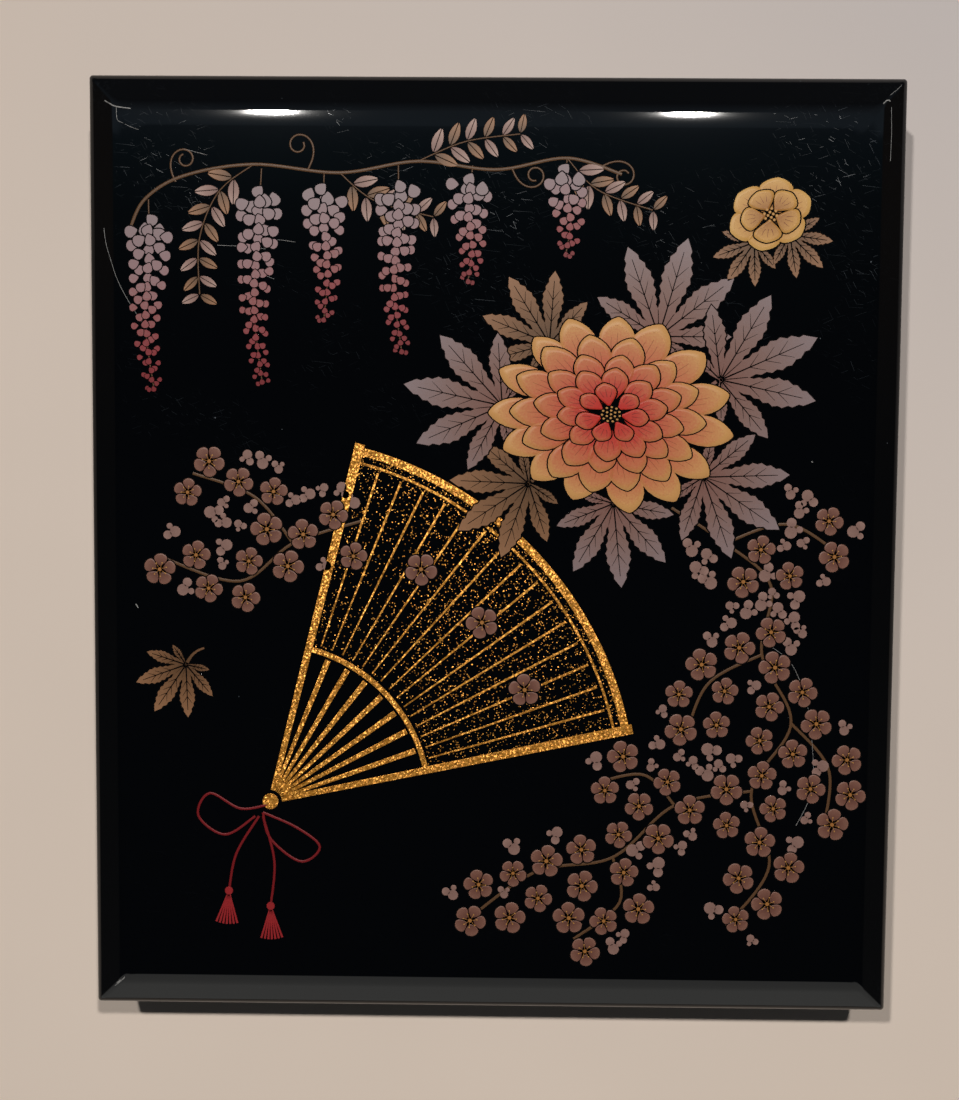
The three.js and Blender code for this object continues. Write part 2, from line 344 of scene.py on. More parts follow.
def pale_paper(settings):
    """A matt studio sheet, graded from a warm pale foot to a cooler far side, with a barely visible mottle.

    Its grade is painted light: the front is paler and the far side darker, though the lamps stand behind.
    Far off it glows, so that it stays pale past the lamps' reach. In the gloss it is dimmer beside the box,
    a painted shade in what the lacquer mirrors.
    From below it can be looked through.
    """
    add, shade, place = new_finish("pale_studio_sheet")
    spot = add("ShaderNodeSeparateXYZ", {0: place}).outputs
    limits = {"From Min": -settings.sheet_grade, "From Max": settings.sheet_grade}
    sideways, away = (add("ShaderNodeMapRange", {"Value": spot[axis]} | limits) for axis in (0, 1))
    # Painted light: the front tone is paler than the far tones, against the lamps' falloff
    far = {0: sideways, 6: opaque(settings.sheet_left), 7: opaque(settings.sheet_right)}
    behind = add("ShaderNodeMix", far, data_type="RGBA").outputs[2]
    tones = {0: away, 6: opaque(settings.sheet_front), 7: behind}
    graded = add("ShaderNodeMix", tones, data_type="RGBA").outputs[2]
    mottled = mottle(add, place, CLOUD_SIZE, {"To Min": 0.96, "To Max": 1.04})[1]
    ray = add("ShaderNodeLightPath").outputs
    from_middle = add("ShaderNodeMath", {0: spot[1], 1: -SHEET_MIDDLE}, operation="ADD")
    fore_and_aft = add("ShaderNodeMath", {0: from_middle}, operation="ABSOLUTE")
    in_gloss = add("ShaderNodeMapRange", {"Value": fore_and_aft} | SHEET_IN_GLOSS)
    dimmed = add("ShaderNodeMapRange", {"Value": ray["Is Glossy Ray"], "To Min": mottled, "To Max": in_gloss})
    off_box = add("ShaderNodeVectorMath", {0: place}, operation="LENGTH").outputs["Value"]
    unlit = add("ShaderNodeMapRange", {"Value": off_box} | SHEET_GLOW)
    from_below = add("ShaderNodeNewGeometry").outputs["Backfacing"]
    shade({
        "Base Color": add("ShaderNodeVectorMath", {0: graded, "Scale": dimmed}, operation="SCALE"),
        "Emission Strength": add("ShaderNodeMath", {0: unlit, 1: ray["Is Camera Ray"]}, operation="MULTIPLY"),
        "Alpha": add("ShaderNodeMath", {0: 1.0, 1: from_below}, operation="SUBTRACT"),
        "Emission Color": opaque(settings.sheet_front), "Roughness": 0.85})


# What the lacquer mirrors, by how far a direction lies towards the back: near the horizon, and higher up
HORIZON_STOPS = (
    (-0.6, "#c0bfbb"), (-0.42, "#3c3a38"), (-0.05, "#2a2927"), (0.12, "#433b33"), (0.5, "#3c3c3d"))
OVERHEAD_STOPS = (
    (-0.45, "#c0bfbb"), (-0.41, "#1c1d1f"), (0.02, "#15181b"), (0.075, "#1e2629"), (0.11, "#283539"),
    (0.14, "#374951"), (0.15, "#47555f"), (0.158, "#6c7c89"), (0.3, "#66707a"), (0.85, "#3c3c3e"))
# How high a direction points where the horizon gives way to what is overhead, and to the sheet below
UPWARD = {"From Min": 0.32, "From Max": 0.46}
DOWNWARD = {"From Min": -0.05, "From Max": -0.15}


def surroundings(settings):
    """A dim room with a pale front, that the gloss mirrors, and an even dim light for all that is matt.

    The camera itself sees the pale sheet go on, and so does the gloss of the underside.
    """
    world = bpy.data.worlds.new("studio_surroundings")
    world.use_nodes = True
    tree = world.node_tree
    add = partial(add_node, tree)
    sheet = opaque(settings.sheet_front)
    way = add("ShaderNodeSeparateXYZ", {0: add("ShaderNodeTexCoord").outputs["Generated"]}).outputs
    towards_back = add("ShaderNodeMapRange", {"Value": way[1], "From Min": -1.0})
    low, high = (
        colour_stops(add, towards_back, [((where + 1) / 2, tone) for where, tone in stops])
        for stops in (HORIZON_STOPS, OVERHEAD_STOPS))
    upward = add("ShaderNodeMapRange", {"Value": way[2]} | UPWARD, interpolation_type="SMOOTHSTEP")
    downward = add("ShaderNodeMapRange", {"Value": way[2]} | DOWNWARD)
    ray = add("ShaderNodeLightPath").outputs
    room = add("ShaderNodeMix", {0: upward, 6: low, 7: high}, data_type="RGBA").outputs[2]
    mirrored = add("ShaderNodeMix", {0: downward, 6: room, 7: sheet}, data_type="RGBA").outputs[2]
    by_gloss = {0: ray["Is Glossy Ray"], 6: opaque(settings.ambient), 7: mirrored}
    by_camera = {
        0: ray["Is Camera Ray"], 6: add("ShaderNodeMix", by_gloss, data_type="RGBA").outputs[2], 7: sheet}
    whole = add("ShaderNodeMix", by_camera, data_type="RGBA").outputs[2]
    fill(tree, tree.nodes["Background"], {"Color": whole})
    return world


# Solid shapes


def rounded_loop(half_x, half_y, radius, height, side_steps, corner_steps):
    """Points of a rounded rectangle, anticlockwise from the foot of its front right corner."""
    corners = [(1, -1, -0.25), (1, 1, 0.0), (-1, 1, 0.25), (-1, -1, 0.5)]
    arcs = []
    for sign_x, sign_y, start in corners:
        centre = Vector((sign_x * (half_x - radius), sign_y * (half_y - radius), height))
        turns = [(start + 0.25 * k / corner_steps) * TURN for k in range(corner_steps + 1)]
        arcs.append([centre + radius * Vector((math.cos(a), math.sin(a), 0)) for a in turns])
    points = []
    for arc, following in zip(arcs, arcs[1:] + arcs[:1]):
        points += arc
        points += [arc[-1].lerp(following[0], k / side_steps) for k in range(1, side_steps)]
    return points


def eased_path(corners, steps, support):
    """A path of inset and height whose corners are rounded; each corner is (inset, height, radius).

    Two more points hold the flats on both sides of each arc, so that they stay flat when shaded smooth.
    """
    points = []
    for i, (inset, height, radius) in enumerate(corners):
        here = Vector((inset, height))
        if not 0 < i < len(corners) - 1 or radius == 0:
            points.append(here)
            continue
        back = (Vector(corners[i - 1][:2]) - here).normalized()
        ahead = (Vector(corners[i + 1][:2]) - here).normalized()
        half = back.angle(ahead) / 2
        run = radius / math.tan(half)
        centre = here + (back + ahead).normalized() * (radius / math.sin(half))
        start, end = here + back * run - centre, here + ahead * run - centre
        sweep = start.angle_signed(end)
        points.append(centre + start + back * support)
        for k in range(steps + 1):
            points.append(centre + Matrix.Rotation(-sweep * k / steps, 2) @ start)
        points.append(centre + end + ahead * support)
    return points


def lofted(name, corners, half_x, half_y, radius_at, ring):
    """A closed solid through rounded rectangles: a ring that closes on itself, or capped at both ends."""
    shell = box_settings().shell
    path = eased_path(corners, shell.arc_steps, shell.support)
    if path[0] == path[-1]:
        path.pop()
    bm = bmesh.new()
    loops = []
    for inset, height in path:
        halves = (half_x - inset, half_y - inset)
        points = rounded_loop(*halves, radius_at(inset), height, shell.side_steps, shell.corner_steps)
        loops.append([bm.verts.new(p) for p in points])
    for one, other in zip(loops, loops[1:] + (loops[:1] if ring else [])):
        for i in range(len(one)):
            j = (i + 1) % len(one)
            bm.faces.new((one[i], one[j], other[j], other[i]))
    if not ring:
        bm.faces.new(loops[0])
        bm.faces.new(loops[-1])
    bmesh.ops.recalc_face_normals(bm, faces=bm.faces)
    for face in bm.faces:
        face.smooth = True
    return finished(name, bm)


def finished(name, bm):
    """The bmesh as an object at the origin."""
    mesh = bpy.data.meshes.new(name)
    bm.to_mesh(mesh)
    bm.free()
    made = bpy.data.objects.new(name, mesh)
    bpy.context.scene.collection.objects.link(made)
    return made


# How rubbed a shell is at its corners and along its arris, and how open to scratches it lies off its field
CORNER_RUB = 0.15
ARRIS_RUB = 0.35
SHELTERED = 0.12


def mark_wear(made, half_x, half_y, arris, field_inset):
    """Marks how rubbed each point of a shell is, and how open to scratches it lies.

    Corners are rubbed most, and the upper arris a little. The field, past field_inset, takes the scratches.
    """
    shell = box_settings().shell
    wear, field = (made.data.attributes.new(name, "FLOAT", "POINT") for name in ("wear", "field"))
    for vertex in made.data.vertices:
        inset_x, inset_y = half_x - abs(vertex.co.x), half_y - abs(vertex.co.y)
        inset = min(inset_x, inset_y)
        corner = CORNER_RUB * math.exp(-math.hypot(inset_x, inset_y) / shell.corner_wear)
        edge = ARRIS_RUB * math.exp(-(abs(vertex.co.z - arris) + inset) / shell.edge_wear)
        wear.data[vertex.index].value = min(1.0, corner + edge)
        open_field = vertex.co.z > arris and inset > field_inset
        field.data[vertex.index].value = 1.0 if open_field else SHELTERED


# Flat lacquer motifs, raised a little from the lid


DISH_SHARE = 0.74  # of a plate's size, for its sunk middle
RIM_TINT_AND_HIGHLIGHT = 0.12  # how much further along its colours a sunk plate's rim lies: partly its own colour, partly a painted highlight on the raised rim
SOFT_EDGE = ((0.0, 0.45), (0.35, 0.85), (1.0, 1.0))  # shares of the ease inwards, and of the rise
MIDRIB_SHARE = 0.97  # of a small leaf's length


def inset_outline(outline, amount):
    """The outline moved inwards by an amount; it runs anticlockwise."""
    moved = []
    for before, here, after in zip(outline[-1:] + outline[:-1], outline, outline[1:] + outline[:1]):
        along = ((here - before).normalized() + (after - here).normalized())
        inward = Vector((-along.y, along.x)).normalized()
        moved.append(here + inward * amount)
    return moved


def add_plate(bm, outline, low, high, ease, reach_of, dish=0.0):
    """Adds a closed flat plate with a softened edge, and marks each point with how far out it lies.

    A dish sinks the plate's middle a little, so that its rim stands up; the rim is painted a lighter tint,
    partly its own colour and partly a painted highlight.
    """
    layer = bm.verts.layers.float.get("reach") or bm.verts.layers.float.new("reach")
    profile = SOFT_EDGE if ease else SOFT_EDGE[-1:]
    steps = [(0.0, low)] + [(inward * ease, low + rise * (high - low)) for inward, rise in profile]
    rim_tint_and_highlight = RIM_TINT_AND_HIGHLIGHT if dish else 0.0
    loops = [[(point, height, reach_of(point) + rim_tint_and_highlight) for point in inset_outline(outline, inward)]
             for inward, height in steps]
    if dish:
        middle = sum(outline, Vector((0.0, 0.0))) / len(outline)
        sunk = [middle.lerp(point, DISH_SHARE) for point in outline]
        loops.append([(point, high - dish, reach_of(point)) for point in sunk])
    rings = []
    for loop in loops:
        rings.append([bm.verts.new((point.x, point.y, height)) for point, height, reach in loop])
        for vertex, (point, height, reach) in zip(rings[-1], loop):
            vertex[layer] = reach
    for lower, upper in zip(rings, rings[1:]):
        for i in range(len(lower)):
            j = (i + 1) % len(lower)
            bm.faces.new((lower[i], lower[j], upper[j], upper[i])).smooth = True
    bm.faces.new(rings[-1])
    bm.faces.new(rings[0][::-1])


def petal_outline(length, width, belly, roundness, steps):
    """A petal or leaf along +X from the origin, widest at a share of its length, anticlockwise."""
    power = math.log(0.5) / math.log(belly)
    shares = [0.5 - 0.5 * math.cos(math.pi * k / steps) for k in range(steps + 1)]
    halves = [0.5 * width * max(0.0, math.sin(math.pi * s ** power)) ** roundness for s in shares]
    right = [Vector((length * s, -h)) for s, h in zip(shares, halves)]
    left = [Vector((length * s, h)) for s, h in zip(shares, halves)]
    return right + left[-2:0:-1]


def half_leaf_outlines(length, width, belly, roundness, vein, steps):
    """The two halves of a leaf along +X, parted by its midrib."""
    whole = petal_outline(length, width, belly, roundness, steps)
    gap = Vector((0, vein / 2))
    ends = [Vector((MIDRIB_SHARE * length, 0)), Vector((0, 0))]
    right = [p - gap for p in whole[:steps + 1] if p.y < -gap.y] + [end - gap for end in ends]
    left = [p + gap for p in whole[:steps - 1:-1] if p.y > gap.y] + [end + gap for end in ends]
    return right, left[::-1]


def turned(outline, heading, shift=(0.0, 0.0)):
    rotation = Matrix.Rotation(heading, 2)
    return [rotation @ p + Vector(shift) for p in outline]


def polar(radius, heading):
    return radius * Vector((math.cos(heading), math.sin(heading)))


def circle_outline(radius, steps, centre=(0.0, 0.0)):
    return [Vector(centre) + polar(radius, TURN * k / steps) for k in range(steps)]


def band_outline(inner, outer, start, end, steps):
    """A piece of a flat ring between two radii and two angles, round the origin."""
    angles = [start + (end - start) * k / steps for k in range(steps + 1)]
    return [polar(outer, a) for a in angles] + [polar(inner, a) for a in angles[::-1]]


def ribbon_outline(route, first_width, last_width):
    """A narrow band along a route of points, tapering from one width to the other, anticlockwise."""
    right, left = [], []
    for k, point in enumerate(route):
        along = (route[min(k + 1, len(route) - 1)] - route[max(k - 1, 0)]).normalized()
        share = k / (len(route) - 1)
        side = Vector((-along.y, along.x)) * (first_width + share * (last_width - first_width)) / 2
        right.append(point - side)
        left.append(point + side)
    return right + left[::-1]


def bowed_route(start, end, bow, steps):
    """Points from start to end along a shallow bow, whose depth is a share of the distance."""
    start, end = Vector(start), Vector(end)
    side = Vector((start.y - end.y, end.x - start.x)) * bow
    shares = [k / steps for k in range(steps + 1)]
    return [start.lerp(end, s) + side * 4 * s * (1 - s) for s in shares]


def straight_band(start, end, first_width, last_width):
    """A straight ribbon along +X, given in millimetres."""
    route = [Vector((start * MM, 0.0)), Vector((end * MM, 0.0))]
    return ribbon_outline(route, first_width * MM, last_width * MM)


def level(storeys):
    """Height above the lid's field of a motif that lies over others."""
    motifs = box_settings().motif
    return motifs.film + storeys * motifs.storey


def template(name, outlines, high, reach_of=None, ease=None, dish=0.0):
    """A hidden motif of one or more plates, to be set out by a geometry node tree."""
    motifs = box_settings().motif
    ease = motifs.ease if ease is None else ease
    bm = bmesh.new()
    for outline in outlines:
        add_plate(bm, outline, -motifs.sunk, high, ease, reach_of or (lambda point: 0.5), dish)
    made = finished("template_" + name, bm)
    made.hide_render = True
    return made


def clear_templates():
    """Removes the hidden motifs once their copies are laid."""
    for made in [o for o in bpy.data.objects if o.name.startswith("template_")]:
        bpy.data.objects.remove(made)


# Geometry node trees


def new_tree(name, **labels):
    """A geometry tree with named inputs of each kind: what adds a node, its inputs, and what ends it."""
    tree = bpy.data.node_groups.new(name, "GeometryNodeTree")
    tree.interface.new_socket("Geometry", in_out="OUTPUT", socket_type="NodeSocketGeometry")
    for kind, names in ({"Geometry": "Geometry", "Material": "Finish"} | labels).items():
        for label in names.split(", "):
            tree.interface.new_socket(label, in_out="INPUT", socket_type="NodeSocket" + kind)
    add = partial(add_node, tree)
    given = add("NodeGroupInput").outputs

    def close(geometry):
        real = add("GeometryNodeRealizeInstances", {0: geometry})
        coated = add("GeometryNodeSetMaterial", {"Geometry": real, "Material": given["Finish"]})
        add("NodeGroupOutput", {0: coated})

    return add, given, close


def chance(add, low, high, seed):
    """A random number for each point, between two limits."""
    limits = {2: low, 3: high, "ID": add("GeometryNodeInputIndex"), "Seed": seed}
    return add("FunctionNodeRandomValue", limits, data_type="FLOAT").outputs[1]


def outward(add, distance, heading):
    """A step along a heading."""
    step = add("ShaderNodeCombineXYZ", {0: distance})
    return add("ShaderNodeVectorRotate", {"Vector": step, "Angle": heading}, rotation_type="Z_AXIS")


def set_out(add, given, points, heading, size, thickness=1.0):
    """Copies of the piece on the points, each turned to its heading and scaled."""
    piece = add("GeometryNodeObjectInfo", {"Object": given["Piece"]}, transform_space="ORIGINAL")
    return add("GeometryNodeInstanceOnPoints", {
        "Points": points, "Instance": piece.outputs["Geometry"],
        "Rotation": add("ShaderNodeCombineXYZ", {2: heading}),
        "Scale": add("ShaderNodeCombineXYZ", {0: size, 1: size, 2: thickness})})


def whorl_tree():
    """Sets copies of a piece round a centre, like petals round a flower or ribs round a fan's pivot."""
    add, given, close = new_tree(
        "whorl", Object="Piece", Int="Copies, Seed", Vector="Centre",
        Float="Radius, First Angle, Step, Wander, Size Spread, Flatten, Turn")
    points = add("GeometryNodeMeshLine", {"Count": given["Copies"], "Offset": (0, 0, 0)}, mode="OFFSET")
    index = add("GeometryNodeInputIndex")
    luck = chance(add, -1.0, 1.0, given["Seed"])
    wander = {0: luck, 1: given["Wander"], 2: given["First Angle"]}
    turns = {0: index, 1: given["Step"], 2: add("ShaderNodeMath", wander, operation="MULTIPLY_ADD")}
    heading = add("ShaderNodeMath", turns, operation="MULTIPLY_ADD")
    size = add("ShaderNodeMath", {0: luck, 1: given["Size Spread"], 2: 1.0}, operation="MULTIPLY_ADD")
    ring = {"Geometry": points, "Position": outward(add, given["Radius"], heading)}
    copies = set_out(add, given, add("GeometryNodeSetPosition", ring), heading, size)
    real = add("GeometryNodeRealizeInstances", {0: copies})
    flat = add("ShaderNodeCombineXYZ", {0: 1.0, 1: given["Flatten"], 2: 1.0})
    squashed = add("GeometryNodeTransform", {"Geometry": real, "Scale": flat})
    turn = add("ShaderNodeCombineXYZ", {2: given["Turn"]})
    move = {"Geometry": squashed, "Rotation": turn, "Translation": given["Centre"]}
    close(add("GeometryNodeTransform", move))


def smooth_route(add, given, first=0.0):
    """The carrier's edges as a smooth curve, from a share of it on, with evenly spaced points."""
    curve = add("GeometryNodeMeshToCurve", {"Mesh": given["Geometry"]})
    smooth = add("GeometryNodeCurveSplineType", {"Curve": curve}, spline_type="CATMULL_ROM")
    cut = add("GeometryNodeTrimCurve", {"Curve": smooth, "Start": first, "End": 1.0}, mode="FACTOR")
    return add("GeometryNodeResampleCurve", {"Curve": cut, "Length": given["Spacing"]}, mode="LENGTH")


def spray_tree():
    """Sets copies of a piece along the carrier's edges, out to alternate sides and smaller at the tip."""
    add, given, close = new_tree(
        "spray", Object="Piece", Int="Seed",
        Float="Spacing, From Share, Lean, Wander, Size At Foot, Size At Tip, First Side, Standoff, Layering")
    route = smooth_route(add, given, given["From Share"])
    share = add("GeometryNodeSplineParameter")
    marked = add("GeometryNodeStoreNamedAttribute", {"Geometry": route, "Name": "share", "Value": share})
    along = add("ShaderNodeSeparateXYZ", {0: add("GeometryNodeInputTangent")}).outputs
    course = add("ShaderNodeMath", {0: along[1], 1: along[0]}, operation="ARCTAN2")
    index = add("GeometryNodeInputIndex")
    odd = add("ShaderNodeMath", {0: index, 1: 2.0}, operation="FLOORED_MODULO")
    side = add("ShaderNodeMath", {0: odd, 1: -2.0, 2: 1.0}, operation="MULTIPLY_ADD")
    signed = add("ShaderNodeMath", {0: side, 1: given["First Side"]}, operation="MULTIPLY")
    leaning = add("ShaderNodeMath", {0: signed, 1: given["Lean"], 2: course}, operation="MULTIPLY_ADD")
    wander = {0: chance(add, -1.0, 1.0, given["Seed"]), 1: given["Wander"], 2: leaning}
    heading = add("ShaderNodeMath", wander, operation="MULTIPLY_ADD")
    sizes = {"Value": share, "To Min": given["Size At Foot"], "To Max": given["Size At Tip"]}
    size = add("ShaderNodeMapRange", sizes)
    standoff = add("ShaderNodeMath", {0: given["Standoff"], 1: size}, operation="MULTIPLY")
    storey = add("ShaderNodeMath", {0: index, 1: 3.0}, operation="FLOORED_MODULO")
    rise = add("ShaderNodeMath", {0: storey, 1: given["Layering"]}, operation="MULTIPLY")
    steps = {0: outward(add, standoff, heading), 1: add("ShaderNodeCombineXYZ", {2: rise})}
    offset = add("ShaderNodeVectorMath", steps, operation="ADD")
    placed = add("GeometryNodeSetPosition", {"Geometry": marked, "Offset": offset})
    close(set_out(add, given, placed, heading, size))


def tapered_tube(add, given, route, sides):
    """A tube along a route, finer towards its tip, and half its thickness."""
    limits = {"Value": add("GeometryNodeSplineParameter"), "To Min": 1.0, "To Max": given["Tip Share"]}
    taper = add("ShaderNodeMapRange", limits)
    tapered = add("GeometryNodeSetCurveRadius", {"Curve": route, "Radius": taper})
    half = add("ShaderNodeMath", {0: given["Thickness"], 1: 0.5}, operation="MULTIPLY")
    ring = add("GeometryNodeCurvePrimitiveCircle", {"Resolution": sides, "Radius": half}, mode="RADIUS")
    return add("GeometryNodeCurveToMesh", {"Curve": tapered, "Profile Curve": ring, "Fill Caps": True}), half


def stem_tree():
    """Draws a low rounded stem along the carrier's edges, finer towards its tip."""
    add, given, close = new_tree("stem", Float="Thickness, Rise, Spacing, Tip Share")
    tube, half = tapered_tube(add, given, smooth_route(add, given), sides=8)
    lowering = add("ShaderNodeMath", {0: given["Rise"], 1: half}, operation="DIVIDE")
    flat = add("ShaderNodeCombineXYZ", {0: 1.0, 1: 1.0, 2: lowering})
    lid = LID_HIGH.z
    for change in ({"Translation": (0, 0, -lid)}, {"Scale": flat}, {"Translation": (0, 0, lid)}):
        tube = add("GeometryNodeTransform", {"Geometry": tube} | change)
    close(tube)


FLAKE_SIZE_SEED = 7


def dust_tree():
    """Sprinkles flakes over the carrier's faces, more thickly the farther they lie from a point."""
    add, given, close = new_tree(
        "dust", Object="Piece", Int="Seed", Vector="Foot",
        Float="Density, Bare Distance, Full Distance, Smallest, Largest")
    ends = {0: add("GeometryNodeInputPosition"), 1: given["Foot"]}
    away = add("ShaderNodeVectorMath", ends, operation="DISTANCE").outputs["Value"]
    limits = {"Value": away, "From Min": given["Bare Distance"], "From Max": given["Full Distance"]}
    share = add("ShaderNodeMapRange", limits)
    steeper = add("ShaderNodeMath", {0: share, 1: share}, operation="MULTIPLY")
    density = add("ShaderNodeMath", {0: steeper, 1: given["Density"]}, operation="MULTIPLY")
    spots = {"Mesh": given["Geometry"], "Density": density, "Seed": given["Seed"]}
    points = add("GeometryNodeDistributePointsOnFaces", spots, distribute_method="RANDOM")
    size = chance(add, given["Smallest"], given["Largest"], FLAKE_SIZE_SEED)
    close(set_out(add, given, points, chance(add, 0.0, TURN, given["Seed"]), size, size))


TRIES_PER_SQUARE_METRE = 2e6  # points tried before the crowded ones are dropped
STREWN_SIZE_SEED = 3


def scatter_tree():
    """Strews copies of a piece over the carrier's faces, spaced apart and clear of two other pieces."""
    add, given, close = new_tree(
        "scatter", Object="Piece, Keep Off, Keep Off Too", Int="Seed",
        Float="Spacing, Clearance, Smallest, Largest")
    spots = {
        "Mesh": given["Geometry"], "Distance Min": given["Spacing"], "Density Max": TRIES_PER_SQUARE_METRE,
        "Seed": given["Seed"]}
    points = add("GeometryNodeDistributePointsOnFaces", spots, distribute_method="POISSON")
    for label in ("Keep Off", "Keep Off Too"):
        other = add("GeometryNodeObjectInfo", {"Object": given[label]}, transform_space="ORIGINAL")
        near = add("GeometryNodeProximity", {0: other.outputs["Geometry"]}, target_element="FACES")
        limits = {0: near.outputs["Distance"], 1: given["Clearance"]}
        crowded = add("FunctionNodeCompare", limits, data_type="FLOAT", operation="LESS_THAN")
        points = add("GeometryNodeDeleteGeometry", {0: points, 1: crowded}, domain="POINT")
    size = chance(add, given["Smallest"], given["Largest"], STREWN_SIZE_SEED)
    close(set_out(add, given, points, chance(add, 0.0, TURN, given["Seed"]), size))


def mark_tree():
    """Draws a hair-thin ridge along the carrier's edges, laid down onto the nearest point of a shell."""
    add, given, close = new_tree("mark", Object="Shell", Float="Thickness, Spacing, Tip Share")
    shell = add("GeometryNodeObjectInfo", {"Object": given["Shell"]}).outputs["Geometry"]
    nearest = add("GeometryNodeProximity", {0: shell}, target_element="FACES").outputs["Position"]
    route = add("GeometryNodeSetPosition", {"Geometry": smooth_route(add, given), "Position": nearest})
    close(tapered_tube(add, given, route, sides=5)[0])


def carrier(points, edges=(), faces=()):
    """A mesh that a tree works on, at the height of the lid's field; points are in millimetres."""
    mesh = bpy.data.meshes.new("carrier")
    mesh.from_pydata([(x * MM, y * MM, LID_HIGH.z) for x, y in points], edges, faces)
    return mesh


def routes_carrier(routes):
    """A mesh with an open chain of edges along each route."""
    points, edges = [], []
    for route in routes:
        edges += [(len(points) + k, len(points) + k + 1) for k in range(len(route) - 1)]
        points += route
    return carrier(points, edges)


def band_carrier(routes, first_width, last_width):
    """A mesh with a band of faces along each route, for what is strewn beside it."""
    points, faces = [], []
    for route in routes:
        outline = ribbon_outline([Vector(p) for p in route], first_width, last_width)
        first, last = len(points), len(points) + len(outline) - 1
        faces += [(first + k, first + k + 1, last - k - 1, last - k) for k in range(len(route) - 1)]
        points += [tuple(p) for p in outline]
    return carrier(points, (), faces)


def grown(mesh, tree, values):
    """What a tree makes of a mesh, as a plain mesh."""
    made = bpy.data.objects.new("grown", mesh)
    bpy.context.scene.collection.objects.link(made)
    modifier = made.modifiers.new(tree.name, "NODES")
    modifier.node_group = tree
    for item in tree.interface.items_tree:
        if item.in_out == "INPUT" and item.name in values:
            modifier[item.identifier] = values[item.name]
    graph = bpy.context.evaluated_depsgraph_get()
    result = bpy.data.meshes.new_from_object(
        made.evaluated_get(graph), preserve_all_data_layers=True, depsgraph=graph)
    made.modifiers.remove(modifier)
    bpy.data.objects.remove(made)
    return result


def settle(piece, body, finish, *stands_for):
    """Gives a piece its finish, its body, the slot that it takes its looks from and the nodes it replaces."""
    piece.data.materials.clear()
    piece.data.materials.append(bpy.data.materials[finish])
    piece.data.polygons.foreach_set("material_index", [0] * len(piece.data.polygons))
    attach(piece, body)
    if stands_for:
        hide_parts(*stands_for)


def laid(name, finish, plantings):
    """Lays a piece on the lid: each planting is a tree's name, a carrier and what the tree is given."""
    bm = bmesh.new()
    for tree, mesh, values in plantings:
        bm.from_mesh(grown(mesh, bpy.data.node_groups[tree], values | {"Finish": bpy.data.materials[finish]}))
    settle(finished(name, bm), "lid", finish)


def whorl(centre, copies, first, step, piece, **changes):
    """A planting of copies round a centre; the other inputs are left plain unless they are given."""
    plain = {
        "Piece": piece, "Copies": copies, "First Angle": first, "Step": step, "Radius": 0.0, "Wander": 0.0,
        "Size Spread": 0.0, "Flatten": 1.0, "Turn": 0.0, "Seed": 1,
        "Centre": (centre[0] * MM, centre[1] * MM, LID_HIGH.z)}
    return "whorl", carrier([(0, 0)]), plain | changes


def spray(routes, piece, start, spacing, lean, wander, standoff, sizes, side, seed, layering=0.0):
    """A planting along routes from a share of them on; lengths are in millimetres, angles in degrees."""
    return "spray", routes_carrier(routes), {
        "Piece": piece, "From Share": start, "Spacing": spacing * MM, "Lean": math.radians(lean),
        "Wander": math.radians(wander), "Standoff": standoff * MM, "Size At Foot": sizes[0],
        "Size At Tip": sizes[1], "First Side": side, "Seed": seed, "Layering": layering}


def stems(routes, thickness, storeys, spacing, tip):
    """A planting of stems along routes, risen to a storey; thickness and spacing are in millimetres."""
    return "stem", routes_carrier(routes), {
        "Thickness": thickness * MM, "Rise": level(storeys), "Spacing": spacing * MM, "Tip Share": tip}


def strewn(routes, widths, spacing, keep_off, clearance, piece, smallest, largest, seed):
    """A planting over bands along routes, clear of two pieces that are already laid; sizes in millimetres."""
    first, second = [bpy.data.objects[name] for name in keep_off]
    return "scatter", band_carrier(routes, *widths), {
        "Piece": piece, "Spacing": spacing * MM, "Keep Off": first, "Keep Off Too": second,
        "Clearance": clearance * MM, "Smallest": smallest, "Largest": largest, "Seed": seed}


# Settings


class ShellSettings(bpy.types.PropertyGroup):
    bevel_width: length("Bevel width", "From the lid's outer face to where bevel and shoulder meet", 8.1)
    edge_band: length("Edge band", "Upright edge of the lid above its walls, up to the bevel", 0.7)
    shoulder_width: length("Shoulder width", "Width of the shoulder between bevel and field", 3.75)
    shoulder_slope: angle("Shoulder slope", "How far the shoulder falls away from the field", 2.1)
    shoulder_radius: length("Shoulder radius", "Rounding between the bevel and the shoulder", 6)
    crown_radius: length("Crown radius", "Rounding between the shoulder and the field", 100)
    arris_radius: length("Arris radius", "Rounding of the lid's outer edge", 4)
    rim_radius: length("Rim radius", "Rounding of rims and lower edges", 0.5)
    inner_radius: length("Inner radius", "Lacquer fillet in inside corners", 1.2)
    plan_radius: length("Plan radius", "Rounding of the upright corners", 0.9)
    field_corner: length("Field corner", "How rounded the field's own corners are", 3)
    flat_margin: length("Flat margin", "Width of the flat strip before a cap", 4)
    support: length("Support", "Distance of the loops that hold a flat beside an arc", 0.1)
    arc_steps: count("Arc steps", "Segments in each rounding of the section", 6)
    side_steps: count("Side steps", "Segments along each straight side", 28)
    corner_steps: count("Corner steps", "Segments round each upright corner", 6)
    corner_wear: length("Corner wear", "How far rubbing reaches from a corner", 2.2)
    edge_wear: length("Edge wear", "How far rubbing reaches from the arris", 0.25)


